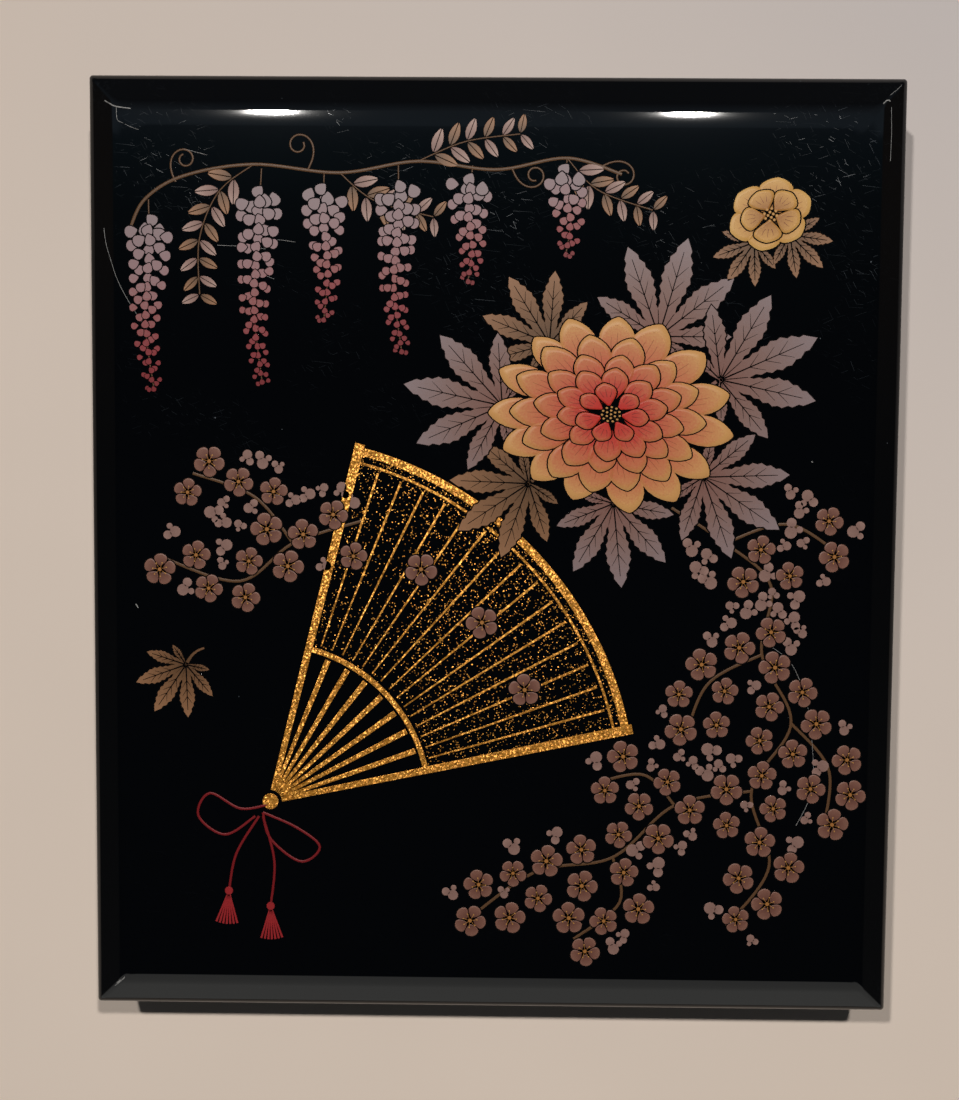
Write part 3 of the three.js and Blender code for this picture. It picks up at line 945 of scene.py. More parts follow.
class FinishSettings(bpy.types.PropertyGroup):
    lacquer: colour("Lacquer", "Polished black lacquer", "#030406")
    # Partly wear and partly a painted highlight: the scratch colour stands for lamp light caught in the
    # scratches
    scuff_and_glint: colour("Scuffed", "Lacquer where it is scratched or rubbed", "#646c74")
    polish_roughness: number("Polish roughness", "Roughness of sound polished lacquer", 0.03)
    scuff_roughness: number("Scuff roughness", "Roughness of rubbed lacquer", 0.4)
    hairline_width: length("Hairline width", "Half width of a polishing scratch", 0.04)
    speck_spacing: length("Speck spacing", "Distance between small specks and dents", 6)
    gold: colour("Gold", "Middle tone of the gold flake", "#ad7019")
    gold_shade: colour("Gold shade", "Darkest flakes", "#7c4d0d")
    gold_glint: colour("Gold glint", "Brightest flakes", "#c48d38")
    flake_size: length("Flake size", "Distance between gold flakes", 0.34)
    flake_tilt: number("Flake tilt", "How far flakes lean from the surface", 0.5)


class MotifSettings(bpy.types.PropertyGroup):
    film: length("Film", "Thickness of a thin lacquer motif", 0.07)
    sunk: length("Sunk", "How far a motif reaches into the lid's surface", 0.03)
    ease: length("Ease", "Softening of a motif's edge", 0.1)
    outline: length("Outline", "Dark line left round a petal", 0.3)
    storey: length("Storey", "Rise from a motif to the one that lies over it", 0.06)
    dish: length("Dish", "How far the middle of a petal is sunk", 0.03)
    vein: length("Vein", "Width of a leaf's dark vein at its foot", 0.4)


class StageSettings(bpy.types.PropertyGroup):
    lens: bpy.props.FloatProperty(name="Lens", description="Focal length in millimetres", default=58.91)
    lamp_watts: number("Lamp power", "Power of each of the two lamps", 7.4)
    lamp_size: length("Lamp size", "Width of each lamp", 33)
    sheet_grade: length("Sheet grade", "Half the width over which the sheet is graded", 160)
    ambient: colour("Ambient", "Dim light from all round, on what is matt", "#2e3032")
    # The sheet's tones are partly painted light: the front is paler than the far side
    sheet_front: colour("Sheet front", "Studio sheet in front of the box", "#dccdc0")
    sheet_left: colour("Sheet left", "Studio sheet behind the box, left", "#c6b9af")
    sheet_right: colour("Sheet right", "Studio sheet behind the box, right", "#b8b2b2")


class BoxSettings(bpy.types.PropertyGroup):
    shell: bpy.props.PointerProperty(type=ShellSettings, name="Shell", description="The lacquered shells")
    finish: bpy.props.PointerProperty(type=FinishSettings, name="Finish", description="Lacquer and gold")
    motif: bpy.props.PointerProperty(type=MotifSettings, name="Motif", description="The lid's decoration")
    stage: bpy.props.PointerProperty(type=StageSettings, name="Stage", description="Camera and lamps")


def box_settings():
    return bpy.context.scene.lacquer_box


# Pieces


def sides(name):
    return [f"{name}_{side}" for side in SIDES]


class LACQUERBOX_OT_finishes(bpy.types.Operator):
    """Mix the lacquers, the gold and the bare wood"""

    bl_idname = "lacquer_box.finishes"
    bl_label = "Finishes"

    def execute(self, context):
        settings = box_settings()
        polished_urushi(settings.finish)
        satin_urushi()
        bare_cypress()
        scraped_urushi()
        sprinkled_gold(settings.finish)
        for tint in TINTS:
            tinted_lacquer(*tint)
        pale_paper(settings.stage)
        return {"FINISHED"}


class LACQUERBOX_OT_trees(bpy.types.Operator):
    """Build the geometry node trees that set out what repeats"""

    bl_idname = "lacquer_box.trees"
    bl_label = "Node trees"

    def execute(self, context):
        for build in (whorl_tree, spray_tree, stem_tree, dust_tree, scatter_tree, mark_tree):
            build()
        return {"FINISHED"}


CORNER_OPENING = 3  # how evenly the lid's corners open from the edge to the field


class LACQUERBOX_OT_lid(bpy.types.Operator):
    """Build the lid's seamless lacquered shell over its joined boards"""

    bl_idname = "lacquer_box.lid"
    bl_label = "Lid shell"

    def execute(self, context):
        shell = box_settings().shell
        wall = LID_WALL_HIGH.y - LID_WALL_LOW.y
        arris = LID_WALL_HIGH.z + shell.edge_band
        rim, top = LID_WALL_LOW.z, LID_HIGH.z
        shoulder = shell.bevel_width + shell.shoulder_width
        fall = shell.shoulder_width * math.tan(shell.shoulder_slope)
        corners = (
            (wall + shell.flat_margin, LID_LOW.z, 0),
            (wall, LID_LOW.z, shell.inner_radius),
            (wall, rim, shell.rim_radius),
            (0, rim, shell.rim_radius),
            (0, arris, shell.arris_radius),
            (shell.bevel_width, top - fall, shell.shoulder_radius),
            (shoulder, top, shell.crown_radius),
            (shoulder + shell.flat_margin, top, 0),
        )

        def radius_at(inset):
            share = min(1.0, inset / shoulder)
            return shell.plan_radius + share ** CORNER_OPENING * (shell.field_corner - shell.plan_radius)

        made = lofted("lid_shell", corners, LID_HIGH.x, LID_HIGH.y, radius_at, False)
        mark_wear(made, LID_HIGH.x, LID_HIGH.y, arris, shell.bevel_width)
        settle(made, "lid", "polished_black_urushi", "lid_top_board", *sides("lid_wall"))
        return {"FINISHED"}


class LACQUERBOX_OT_body(bpy.types.Operator):
    """Build the body's lacquered walls, its floor and the foot rim"""

    bl_idname = "lacquer_box.body"
    bl_label = "Body"

    def execute(self, context):
        shell = box_settings().shell
        half_x, half_y = -BODY_SIDE_LOW.x, -BODY_WALL_LOW.y
        wall = BODY_WALL_HIGH.y - BODY_WALL_LOW.y
        low, rim = BODY_WALL_LOW.z, BODY_WALL_HIGH.z
        under, floor = BOARD_LOW.z, BOARD_HIGH.z
        rabbet = half_y - BOARD_HIGH.y
        ground, hidden = FOOT_LOW.z, FOOT_HIGH.z
        strip = FOOT_HIGH.y - FOOT_LOW.y
        curve, ease = shell.rim_radius, shell.rim_radius / 2

        def even(inset):
            return shell.plan_radius + inset * shell.inner_radius / wall

        walls = lofted("body_walls", (
            (rabbet, floor, 0), (wall, floor, 0), (wall, rim, curve), (0, rim, curve), (0, low, curve),
            (rabbet, low, 0)), half_x, half_y, even, True)
        mark_wear(walls, half_x, half_y, rim, half_y)
        settle(walls, "body", "polished_black_urushi", *sides("body_wall"))
        board = lofted("floor_board", (
            (wall, under, 0), (0, under, ease), (0, floor, ease), (wall, floor, 0)),
            BOARD_HIGH.x, BOARD_HIGH.y, even, False)
        settle(board, "body", "rubbed_black_urushi", "base_board")
        foot = lofted("foot_rim", (
            (strip / 2, hidden, 0), (strip, hidden, ease), (strip, ground, ease), (0, ground, ease),
            (0, hidden, ease), (strip / 2, hidden, 0)), -FOOT_SIDE_LOW.x, -FOOT_LOW.y, even, True)
        settle(foot, "body", "rubbed_black_urushi", *sides("foot_strip"))
        return {"FINISHED"}


class LACQUERBOX_OT_joinery(bpy.types.Operator):
    """Give the loose tongues inside the mitres their bare wood"""

    bl_idname = "lacquer_box.joinery"
    bl_label = "Joinery"

    def execute(self, context):
        for name, made in frame["nodes"].items():
            if "tongue" in name:
                made.data.materials.clear()
                made.data.materials.append(bpy.data.materials["planed_bare_cypress"])
        return {"FINISHED"}


# The open fan: its pivot, and radii and angles round it
FAN_PIVOT = (-58.0, -66.0)
FAN_INNER = 41.0
FAN_OUTER = 96.0
FAN_FIRST = 12.0
FAN_LAST = 76.0
FAN_STICKS = 9
FAN_BANDS = ((FAN_INNER, FAN_INNER + 1.4), (FAN_OUTER - 4.4, FAN_OUTER - 3.7), (FAN_OUTER - 2.1, FAN_OUTER))
DUST_PER_SQUARE_METRE = 1.9e6
FAN_STEPS = 48
FAN_PIN = 2.1
# Its straight parts: from and to which radius, and their widths there
FAN_STICK = (3.0, FAN_INNER - 0.6, 0.8, 1.5)
FAN_FOLD = (FAN_INNER + 2.2, FAN_OUTER - 5.2, 0.4, 0.6)
FAN_GUARD = (3.0, FAN_OUTER + 0.8, 1.4, 2.6)
DUST_RADIUS = 0.19
DUST_FROM = FAN_INNER + 8.0


class LACQUERBOX_OT_fan(bpy.types.Operator):
    """Lay the open folding fan in gold flake, its leaf dusted with finer flakes towards the rim"""

    bl_idname = "lacquer_box.fan"
    bl_label = "Gold fan"

    def execute(self, context):
        first, last = math.radians(FAN_FIRST), math.radians(FAN_LAST)
        step = (last - first) / (FAN_STICKS - 1)
        bands = [band_outline(inner * MM, outer * MM, first, last, FAN_STEPS) for inner, outer in FAN_BANDS]
        parts = (
            (bands + [circle_outline(FAN_PIN * MM, 20)], 0.0, 1, 0.0, 0.0),
            ([straight_band(*FAN_STICK)], 0.1, FAN_STICKS - 2, first + step, step),
            ([straight_band(*FAN_FOLD)], 0.1, 2 * FAN_STICKS - 3, first + step / 2, step / 2),
            ([straight_band(*FAN_GUARD)], 0.5, 2, first, last - first),
        )
        laid("gold_fan", "sprinkled_gold_flake", [
            whorl(FAN_PIVOT, copies, start, turn, template("fan", outlines, level(storeys)))
            for outlines, storeys, copies, start, turn in parts])
        leaf = turned(band_outline(FAN_INNER, FAN_BANDS[-1][0], first, last, FAN_STEPS), 0.0, FAN_PIVOT)
        laid("fan_gold_dust", "sprinkled_gold_flake", [
            ("dust", carrier([tuple(p) for p in leaf], (), [list(range(len(leaf)))]), {
                "Piece": template("flake", [circle_outline(DUST_RADIUS * MM, 6)], level(-0.5), ease=0.0),
                "Foot": Vector((FAN_PIVOT[0] * MM, FAN_PIVOT[1] * MM, LID_HIGH.z)),
                "Density": DUST_PER_SQUARE_METRE, "Bare Distance": DUST_FROM * MM,
                "Full Distance": FAN_OUTER * MM, "Smallest": 0.45, "Largest": 1.0, "Seed": 5})])
        clear_templates()
        return {"FINISHED"}


# The fan's knotted cord: the routes that it passes from the pivot, and where its two tassels hang
CORD_ROUTES = (
    ((-59, -67), (-66, -68), (-74, -64), (-77, -70), (-70, -75), (-62, -70)),
    ((-60, -69), (-58, -76), (-50, -82), (-45, -78), (-51, -73), (-60, -69)),
    ((-61, -70), (-67, -80), (-69, -90)),
    ((-60, -70), (-57, -82), (-58, -94)),
)
TASSELS = ((-69, -90, -94), (-58, -94, -88))
TASSEL_STRANDS = 7
STRAND = (0.4, 9.0, 0.35, 0.6)  # from and to how far, and its widths there
STRAND_SPREAD = 6  # degrees between strands
KNOB_RADIUS = 1.1


class LACQUERBOX_OT_cord(bpy.types.Operator):
    """Tie the fan's vermilion cord, with its bow and two tassels"""

    bl_idname = "lacquer_box.cord"
    bl_label = "Fan cord"

    def execute(self, context):
        strand = template("strand", [straight_band(*STRAND)], level(0.4), ease=0.1 * MM)
        knob = template("knob", [circle_outline(KNOB_RADIUS * MM, 14)], level(1.2))
        spread = math.radians(STRAND_SPREAD)
        plantings = [stems(CORD_ROUTES, thickness=0.7, storeys=0.4, spacing=0.8, tip=0.9)]
        for x, y, heading in TASSELS:
            start = math.radians(heading) - spread * (TASSEL_STRANDS - 1) / 2
            plantings.append(whorl((x, y), TASSEL_STRANDS, start, spread, strand))
            plantings.append(whorl((x, y), 1, 0.0, 0.0, knob))
        laid("vermilion_cord", "vermilion_lacquer", plantings)
        clear_templates()
        return {"FINISHED"}


# The two blooms: place, flattening and turn, and their rings of petals from the outside in:
# petals, distance of their feet from the centre, length, width, first angle
DAHLIA_CENTRE = (30.0, 36.0)
DAHLIA_RADIUS = 31.0
DAHLIA_FLATTEN = 0.8
DAHLIA_TURN = -12.0
DAHLIA_RINGS = (
    (15, 10.0, 21.0, 9.6, 0),
    (14, 7.6, 17.6, 8.8, 10),
    (12, 5.4, 14.2, 7.8, 3),
    (10, 3.6, 10.8, 6.6, 20),
    (7, 2.2, 7.4, 5.4, 5),
)
DAHLIA_HEART = ((11, 2.3), (6, 1.2), (1, 0.0))
CAMELLIA_CENTRE = (70.0, 87.0)
CAMELLIA_RADIUS = 10.5
CAMELLIA_FLATTEN = 0.85
CAMELLIA_TURN = 20.0
CAMELLIA_RINGS = (
    (6, 1.6, 8.9, 8.6, 0),
    (5, 1.2, 7.0, 7.4, 30),
)
CAMELLIA_HEART = ((8, 1.6), (4, 0.7))
FIRST_PETAL_STOREY = 4.2
PETAL_LINES_BELOW = 0.6  # storeys
CREASES_BELOW = 0.6  # of a petal's dish
# How far a place on a petal lies along the colours: by its distance from the bloom's middle as a share of
# the bloom's radius, and by its distance from the petal's foot as a share of the petal's length; and how
# far all of it is moved back towards the first colour
BY_BLOOM = 0.7
BY_PETAL = 0.3
TOWARDS_FIRST = 0.1
EYE_STOREY = 8.4
DAHLIA_HEART_STOREY = 8.9
CAMELLIA_HEART_STOREY = 6.2
BLOOM_PETAL = {"belly": 0.64, "roundness": 0.68, "steps": 14}
PETAL_WANDER = 4  # degrees
PETAL_SPREAD = 0.07
CREASE_OFFSETS = (-1.5, 0.0, 1.5)  # how far beside a petal's middle its creases end, in millimetres
CREASE_SPAN = (0.42, 0.76)  # where a crease starts and ends, as shares of the petal's length
CREASE_FALL = 0.05  # how much shorter a crease is for each millimetre beside the middle
CREASE_BOW = 0.04  # for each millimetre beside the middle
CREASE_WIDTHS = (0.16 * MM, 0.08 * MM)
GRAIN_RADIUS = 0.42
GRAIN_TURN = 0.4  # how far a ring of grains is turned for each millimetre of its radius
EYE_RADIUS = 3.0  # of the dark disc in the dahlia's middle


def ring_plantings(centre, radius, rings, flatten, turn):
    """The petals of a bloom, the dark lines left round them and the creases drawn on them."""
    motifs = box_settings().motif
    petals, lines, creases = [], [], []
    for order, (copies, foot, long, wide, first) in enumerate(rings):
        def reach_of(point, foot=foot, long=long):
            from_middle, from_foot = foot * MM + point.x, point.x
            return BY_BLOOM * from_middle / (radius * MM) + BY_PETAL * from_foot / (long * MM) - TOWARDS_FIRST

        storey = FIRST_PETAL_STOREY + order
        outline = petal_outline(long * MM, wide * MM, **BLOOM_PETAL)
        common = {
            "Radius": foot * MM, "Wander": math.radians(PETAL_WANDER), "Size Spread": PETAL_SPREAD,
            "Flatten": flatten, "Turn": math.radians(turn), "Seed": order}
        crease = []
        for side in CREASE_OFFSETS:
            start = (CREASE_SPAN[0] * long * MM, 0.5 * side * MM)
            end = ((CREASE_SPAN[1] - CREASE_FALL * abs(side)) * long * MM, side * MM)
            crease.append(ribbon_outline(bowed_route(start, end, CREASE_BOW * side, 5), *CREASE_WIDTHS))
        for made, outlines, height, dish in (
                (petals, [outline], level(storey), motifs.dish),
                (lines, [inset_outline(outline, -motifs.outline)], level(storey - PETAL_LINES_BELOW), 0.0),
                (creases, crease, level(storey) - CREASES_BELOW * motifs.dish, 0.0)):
            piece = template("petal", outlines, height, reach_of, dish=dish, ease=None if dish else 0.0)
            made.append(whorl(centre, copies, math.radians(first), TURN / copies, piece, **common))
    return petals, lines, creases


def heart_plantings(centre, rings, flatten, storey):
    """Round grains in the middle of a flower."""
    grain = template("grain", [circle_outline(GRAIN_RADIUS * MM, 9)], level(storey), ease=0.12 * MM)
    return [
        whorl(centre, copies, GRAIN_TURN * radius, TURN / copies, grain, Radius=radius * MM, Flatten=flatten)
        for copies, radius in rings]


class LACQUERBOX_OT_blooms(bpy.types.Operator):
    """Raise the large dahlia, coral inside and cream at its tips, and the small cream camellia"""

    bl_idname = "lacquer_box.blooms"
    bl_label = "Blooms"

    def execute(self, context):
        dahlia = ring_plantings(DAHLIA_CENTRE, DAHLIA_RADIUS, DAHLIA_RINGS, DAHLIA_FLATTEN, DAHLIA_TURN)
        camellia = ring_plantings(
            CAMELLIA_CENTRE, CAMELLIA_RADIUS, CAMELLIA_RINGS, CAMELLIA_FLATTEN, CAMELLIA_TURN)
        disc = template("disc", [circle_outline(EYE_RADIUS * MM, 20)], level(EYE_STOREY))
        middle = whorl(DAHLIA_CENTRE, 1, 0.0, 0.0, disc, Flatten=DAHLIA_FLATTEN)
        hearts = heart_plantings(DAHLIA_CENTRE, DAHLIA_HEART, DAHLIA_FLATTEN, DAHLIA_HEART_STOREY)
        hearts += heart_plantings(CAMELLIA_CENTRE, CAMELLIA_HEART, 1.0, CAMELLIA_HEART_STOREY)
        laid("dahlia_petals", "coral_to_cream_lacquer", dahlia[0])
        laid("camellia_petals", "cream_lacquer", camellia[0])
        laid("petal_creases", "russet_line_lacquer", dahlia[2] + camellia[2])
        laid("bloom_outlines", "black_line_lacquer", dahlia[1] + camellia[1] + [middle])
        laid("bloom_hearts", "cream_lacquer", hearts)
        clear_templates()
        return {"FINISHED"}


# Maple leaves: place of the palm, heading, size, storey and finish of each
MAPLE_LEAVES = (
    (42, 56, 74, 26, 2.6, "lilac_grey_lacquer"),
    (58, 45, 24, 27, 3.1, "lilac_grey_lacquer"),
    (54, 20, -34, 24, 2.6, "lilac_grey_lacquer"),
    (2, 38, 168, 26, 3.1, "lilac_grey_lacquer"),
    (14, 54, 122, 20, 2.6, "bronze_powder_lacquer"),
    (9, 18, 214, 22, 2.6, "bronze_powder_lacquer"),
    (31, 13, -84, 22, 3.1, "lilac_grey_lacquer"),
    (66, 80, -124, 12, 2.6, "bronze_powder_lacquer"),
    (75, 82, -44, 12, 2.6, "bronze_powder_lacquer"),
    (-80, -30, 236, 15, 2.6, "bronze_powder_lacquer"),
)
# Headings and lengths of a leaf's lobes, and one toothed side of a lobe as shares of its length
MAPLE_LOBES = ((-112, 0.42), (-74, 0.72), (-36, 0.93), (0, 1.0), (36, 0.93), (74, 0.72), (112, 0.42))
LOBE_SIDE_SHARES = (
    (0.26, 0.092), (0.33, 0.086), (0.375, 0.112), (0.43, 0.106), (0.475, 0.137),
    (0.53, 0.124), (0.575, 0.152), (0.63, 0.134), (0.675, 0.147), (0.735, 0.11),
    (0.78, 0.118), (0.84, 0.074), (0.885, 0.078))
VEIN_SHARE = 0.86
SIDE_VEINS = (0.3, 0.46, 0.6)  # where the small veins leave a lobe's midrib
SIDE_VEIN_REACH = (0.13, 0.085)  # how far a small vein runs along and across its lobe
PALM_SHARE = 0.02  # of a leaf's size, between the palm's middle and the foot of a lobe or a vein
VEIN_TAPER = 0.4  # of a vein's width, at its tip
VEIN_HEIGHT = 0.01 * MM  # over the leaf
EDGE_BELOW = 0.5  # storeys, for the dark edge
STALK_BELOW = 0.3
STALK_ENDS = ((-0.04, 0.0), (-0.42, 0.1))  # as shares of a leaf's size
STALK_BOW = 0.12
STALK_WIDTHS = (0.5 * MM, 0.9 * MM)


def maple_lobes(size):
    """The lobes of a maple leaf round its palm, the middle one along +X; together they make the blade."""
    lobes = []
    for heading, share in MAPLE_LOBES:
        long = share * size
        foot, tip = Vector((-PALM_SHARE * size, 0.0)), Vector((long, 0.0))
        right = [Vector((along * long, -across * long)) for along, across in LOBE_SIDE_SHARES]
        left = [Vector((p.x, -p.y)) for p in reversed(right)]
        lobes.append(turned([foot, *right, tip, *left], math.radians(heading)))
    return lobes


def lobe_veins(size, vein):
    """The midrib and the small veins of each lobe, as narrow ribbons."""
    ribbons = []
    along, across = SIDE_VEIN_REACH
    for heading, share in MAPLE_LOBES:
        long = share * size
        routes = [((PALM_SHARE * size, 0.0), (VEIN_SHARE * long, 0.0), vein)]
        routes += [
            ((start * long, 0.0), ((start + along) * long, side * across * long), 0.5 * vein)
            for start in SIDE_VEINS for side in (-1, 1)]
        for first, last, width in routes:
            route = turned([Vector(first), Vector(last)], math.radians(heading))
            ribbons.append(ribbon_outline(route, width, VEIN_TAPER * width))
    return ribbons


class LACQUERBOX_OT_leaves(bpy.types.Operator):
    """Lay the maple leaves in lilac grey lacquer and bronze powder, with dark veins and edges"""

    bl_idname = "lacquer_box.leaves"
    bl_label = "Maple leaves"

    def execute(self, context):
        motifs = box_settings().motif
        foot = LID_HIGH.z - motifs.sunk
        blades, dark = {}, bmesh.new()
        for x, y, heading, size_mm, storey, finish in MAPLE_LEAVES:
            place, size = Vector((x * MM, y * MM)), size_mm * MM
            top = LID_HIGH.z + level(storey)

            def reach_of(point, place=place, size=size):
                return (point - place).length / size

            def put(bm, outline, high, ease, turn=math.radians(heading), place=place, reach_of=reach_of):
                add_plate(bm, turned(outline, turn, place), foot, high, ease, reach_of)

            bm = blades.setdefault(finish, bmesh.new())
            for lobe in maple_lobes(size):
                put(bm, lobe, top, motifs.ease)
                put(dark, inset_outline(lobe, -motifs.outline), top - EDGE_BELOW * motifs.storey, 0.0)
            ends = [Vector(end) * size for end in STALK_ENDS]
            stalk = ribbon_outline(bowed_route(*ends, STALK_BOW, 8)[::-1], *STALK_WIDTHS)
            put(bm, stalk, top - STALK_BELOW * motifs.storey, motifs.ease)
            for vein in lobe_veins(size, motifs.vein):
                put(dark, vein, top + VEIN_HEIGHT, 0.0)
        for finish, bm in blades.items():
            settle(finished("maple_leaves_" + finish.split("_")[0], bm), "lid", finish)
        settle(finished("maple_veins", dark), "lid", "black_line_lacquer")
        return {"FINISHED"}


# Plum branches, from their feet to their tips
PLUM_BRANCHES = (
    ((46, 12), (60, 3), (72, -8), (70, -26), (78, -44), (68, -62), (73, -82), (62, -98)),
    ((60, 3), (76, 8), (90, 0)),
    ((70, -26), (56, -34), (50, -50)),
    ((78, -44), (88, -56), (87, -72)),
    ((68, -62), (48, -66), (32, -80), (12, -84), (-6, -97)),
    ((32, -80), (34, -92), (22, -102)),
    ((48, -66), (40, -58), (28, -60)),
    ((-34, 8), (-52, 2), (-66, -8), (-86, -2)),
    ((-52, 2), (-62, 14), (-78, 20)),
)
BLOSSOM_BAND = (17.0, 12.0)  # width of the band along a branch in which its blossoms open, at foot and tip
BLOSSOM_SPACING = 9.1
BLOSSOM_CLEARANCE = 4.7
BUD_BAND = (23.0, 17.0)
BUD_SPACING = 3.8
BUD_CLEARANCE = 2.0
STAMENS = 7
PETALS = 5
PLUM_PETAL = {"length": 3.3 * MM, "width": 3.5 * MM, "belly": 0.6, "roundness": 0.52, "steps": 9}
PETAL_FOOT = 0.95 * MM  # from the blossom's middle
BLOSSOM_RADIUS = 4.4 * MM
BLOSSOM_EYE = 1.4 * MM
STAMEN_DISC = 0.55 * MM
FILAMENT = (0.7, 1.75, 0.16, 0.12)  # from and to how far, and its widths there
ANTHER = (0.22 * MM, 1.85 * MM)  # its radius, and how far out it lies
# Blossoms on the fan: how many, the heading of the first and the step to the next, and the rest
ON_FAN = (3, math.radians(26), math.radians(15))
ON_FAN_REST = {"Radius": 73 * MM, "Wander": math.radians(3), "Seed": 2}
BUD_CLUSTER = ((1.45, -0.5, 0.0), (1.15, 1.5, 0.8), (0.8, 0.9, -1.5))  # radius and place of each bud


class LACQUERBOX_OT_plum(bpy.types.Operator):
    """Grow the plum branches with their open blossoms and round buds"""

    bl_idname = "lacquer_box.plum"
    bl_label = "Plum"

    def execute(self, context):
        motifs = box_settings().motif
        laid("plum_branches", "bronze_powder_lacquer", [
            stems(PLUM_BRANCHES, thickness=0.8, storeys=-0.3, spacing=1.5, tip=0.45)])

        def reach_of(point):
            return point.length / BLOSSOM_RADIUS

        petal = petal_outline(**PLUM_PETAL)
        petals, dark = (
            [turned(outline, TURN * k / PETALS, polar(PETAL_FOOT, TURN * k / PETALS)) for k in range(PETALS)]
            for outline in (petal, inset_outline(petal, -motifs.outline)))
        dark.append(circle_outline(BLOSSOM_EYE, 12))
        stamens = [circle_outline(STAMEN_DISC, 10)]
        for k in range(STAMENS):
            turn = TURN * (k + 0.5) / STAMENS
            stamens.append(turned(straight_band(*FILAMENT), turn))
            stamens.append(circle_outline(ANTHER[0], 6, polar(ANTHER[1], turn)))
        for name, finish, outlines, storey, dish, ease in (
                ("plum_outlines", "black_line_lacquer", dark, 0.7, 0.0, 0.0),
                ("plum_blossoms", "rose_tan_lacquer", petals, 1.2, motifs.dish / 2, 0.05 * MM),
                ("plum_stamens", "cream_lacquer", stamens, 1.5, 0.0, 0.05 * MM)):
            piece = template(name, outlines, level(storey), reach_of, dish=dish, ease=ease)
            laid(name, finish, [
                strewn(PLUM_BRANCHES, BLOSSOM_BAND, BLOSSOM_SPACING, ("maple_veins", "bloom_outlines"),
                       BLOSSOM_CLEARANCE, piece, smallest=0.84, largest=1.02, seed=11),
                whorl(FAN_PIVOT, *ON_FAN, piece, **ON_FAN_REST)])
        cluster = [circle_outline(radius * MM, 12, (x * MM, y * MM)) for radius, x, y in BUD_CLUSTER]
        bud = template("bud", cluster, level(0.5), reach_of)
        laid("plum_buds", "mauve_pink_lacquer", [
            strewn(PLUM_BRANCHES, BUD_BAND, BUD_SPACING, ("maple_veins", "plum_outlines"), BUD_CLEARANCE,
                   bud, smallest=0.7, largest=1.15, seed=23)])
        clear_templates()
        return {"FINISHED"}


# Wisteria: the vine, its tendrils, the stalks of its leaves and its hanging racemes, from foot to tip
WISTERIA_VINES = (
    ((-94, 82), (-90, 90), (-80, 96), (-62, 99), (-40, 97), (-20, 100), (0, 98), (18, 101), (32, 97)),
)
# Tendrils: foot, heading, and how much each step bends, in degrees, at the foot and at the tip
TENDRILS = (
    ((-82, 94.5), 118, -2, -44),
    ((-48, 98), 62, 2, 40),
    ((4, 98.5), -72, 3, 42),
    ((27, 99), 30, -3, -42),
)
TENDRIL_STEPS = 20
TENDRIL_STEP = 1.05
WISTERIA_STALKS = (
    ((-62, 99), (-71, 92), (-76, 80), (-76, 66)),
    ((-40, 97), (-31, 90), (-16, 86)),
    ((18, 101), (26, 93), (40, 88)),
    ((-20, 100), (-8, 105), (6, 107)),
)
RACEMES = (
    ((-89, 90), (-89, 74), (-90, 58), (-88, 42)),
    ((-60, 98), (-61, 80), (-62, 62), (-60, 44)),
    ((-44, 97), (-44, 84), (-43, 72), (-44, 60)),
    ((-25, 99), (-25, 84), (-26, 68), (-24, 52)),
    ((-6, 99), (-7, 88), (-6, 78), (-7, 70)),
    ((18, 101), (18, 92), (19, 84), (18, 77)),
)
LEAFLET = {
    "length": 6.4 * MM, "width": 2.7 * MM, "belly": 0.45, "roundness": 0.8, "vein": 0.2 * MM, "steps": 8}
LEAFLET_REACH = 5.6 * MM
FLORET = {"length": 3.0 * MM, "width": 2.8 * MM, "belly": 0.62, "roundness": 0.5, "steps": 7}
FLORET_LINE = 0.7  # of the outline round larger petals
ROW_RISE = 0.3  # storeys from a row of florets to the next
FLORET_RISE = 0.9  # storeys from a floret to the next, over three
# Rows of florets down a raceme: spacing, lean, standoff, size at the foot and at the tip, first side, seed
FLORET_ROWS = (
    (2.0, 74, 2.6, 1.2, 0.42, 1.0, 2),
    (1.9, 52, 1.2, 1.2, 0.45, -1.0, 6),
    (2.3, 16, -0.9, 1.1, 0.5, 1.0, 12),
)


def curled_route(start, heading, first_bend, last_bend):
    """A tendril that leaves its foot along a heading and bends more and more."""
    here, course, route = Vector(start), math.radians(heading), [tuple(start)]
    for k in range(TENDRIL_STEPS):
        course += math.radians(first_bend + (last_bend - first_bend) * k / TENDRIL_STEPS)
        here = here + polar(TENDRIL_STEP, course)
        route.append(tuple(here))
    return route


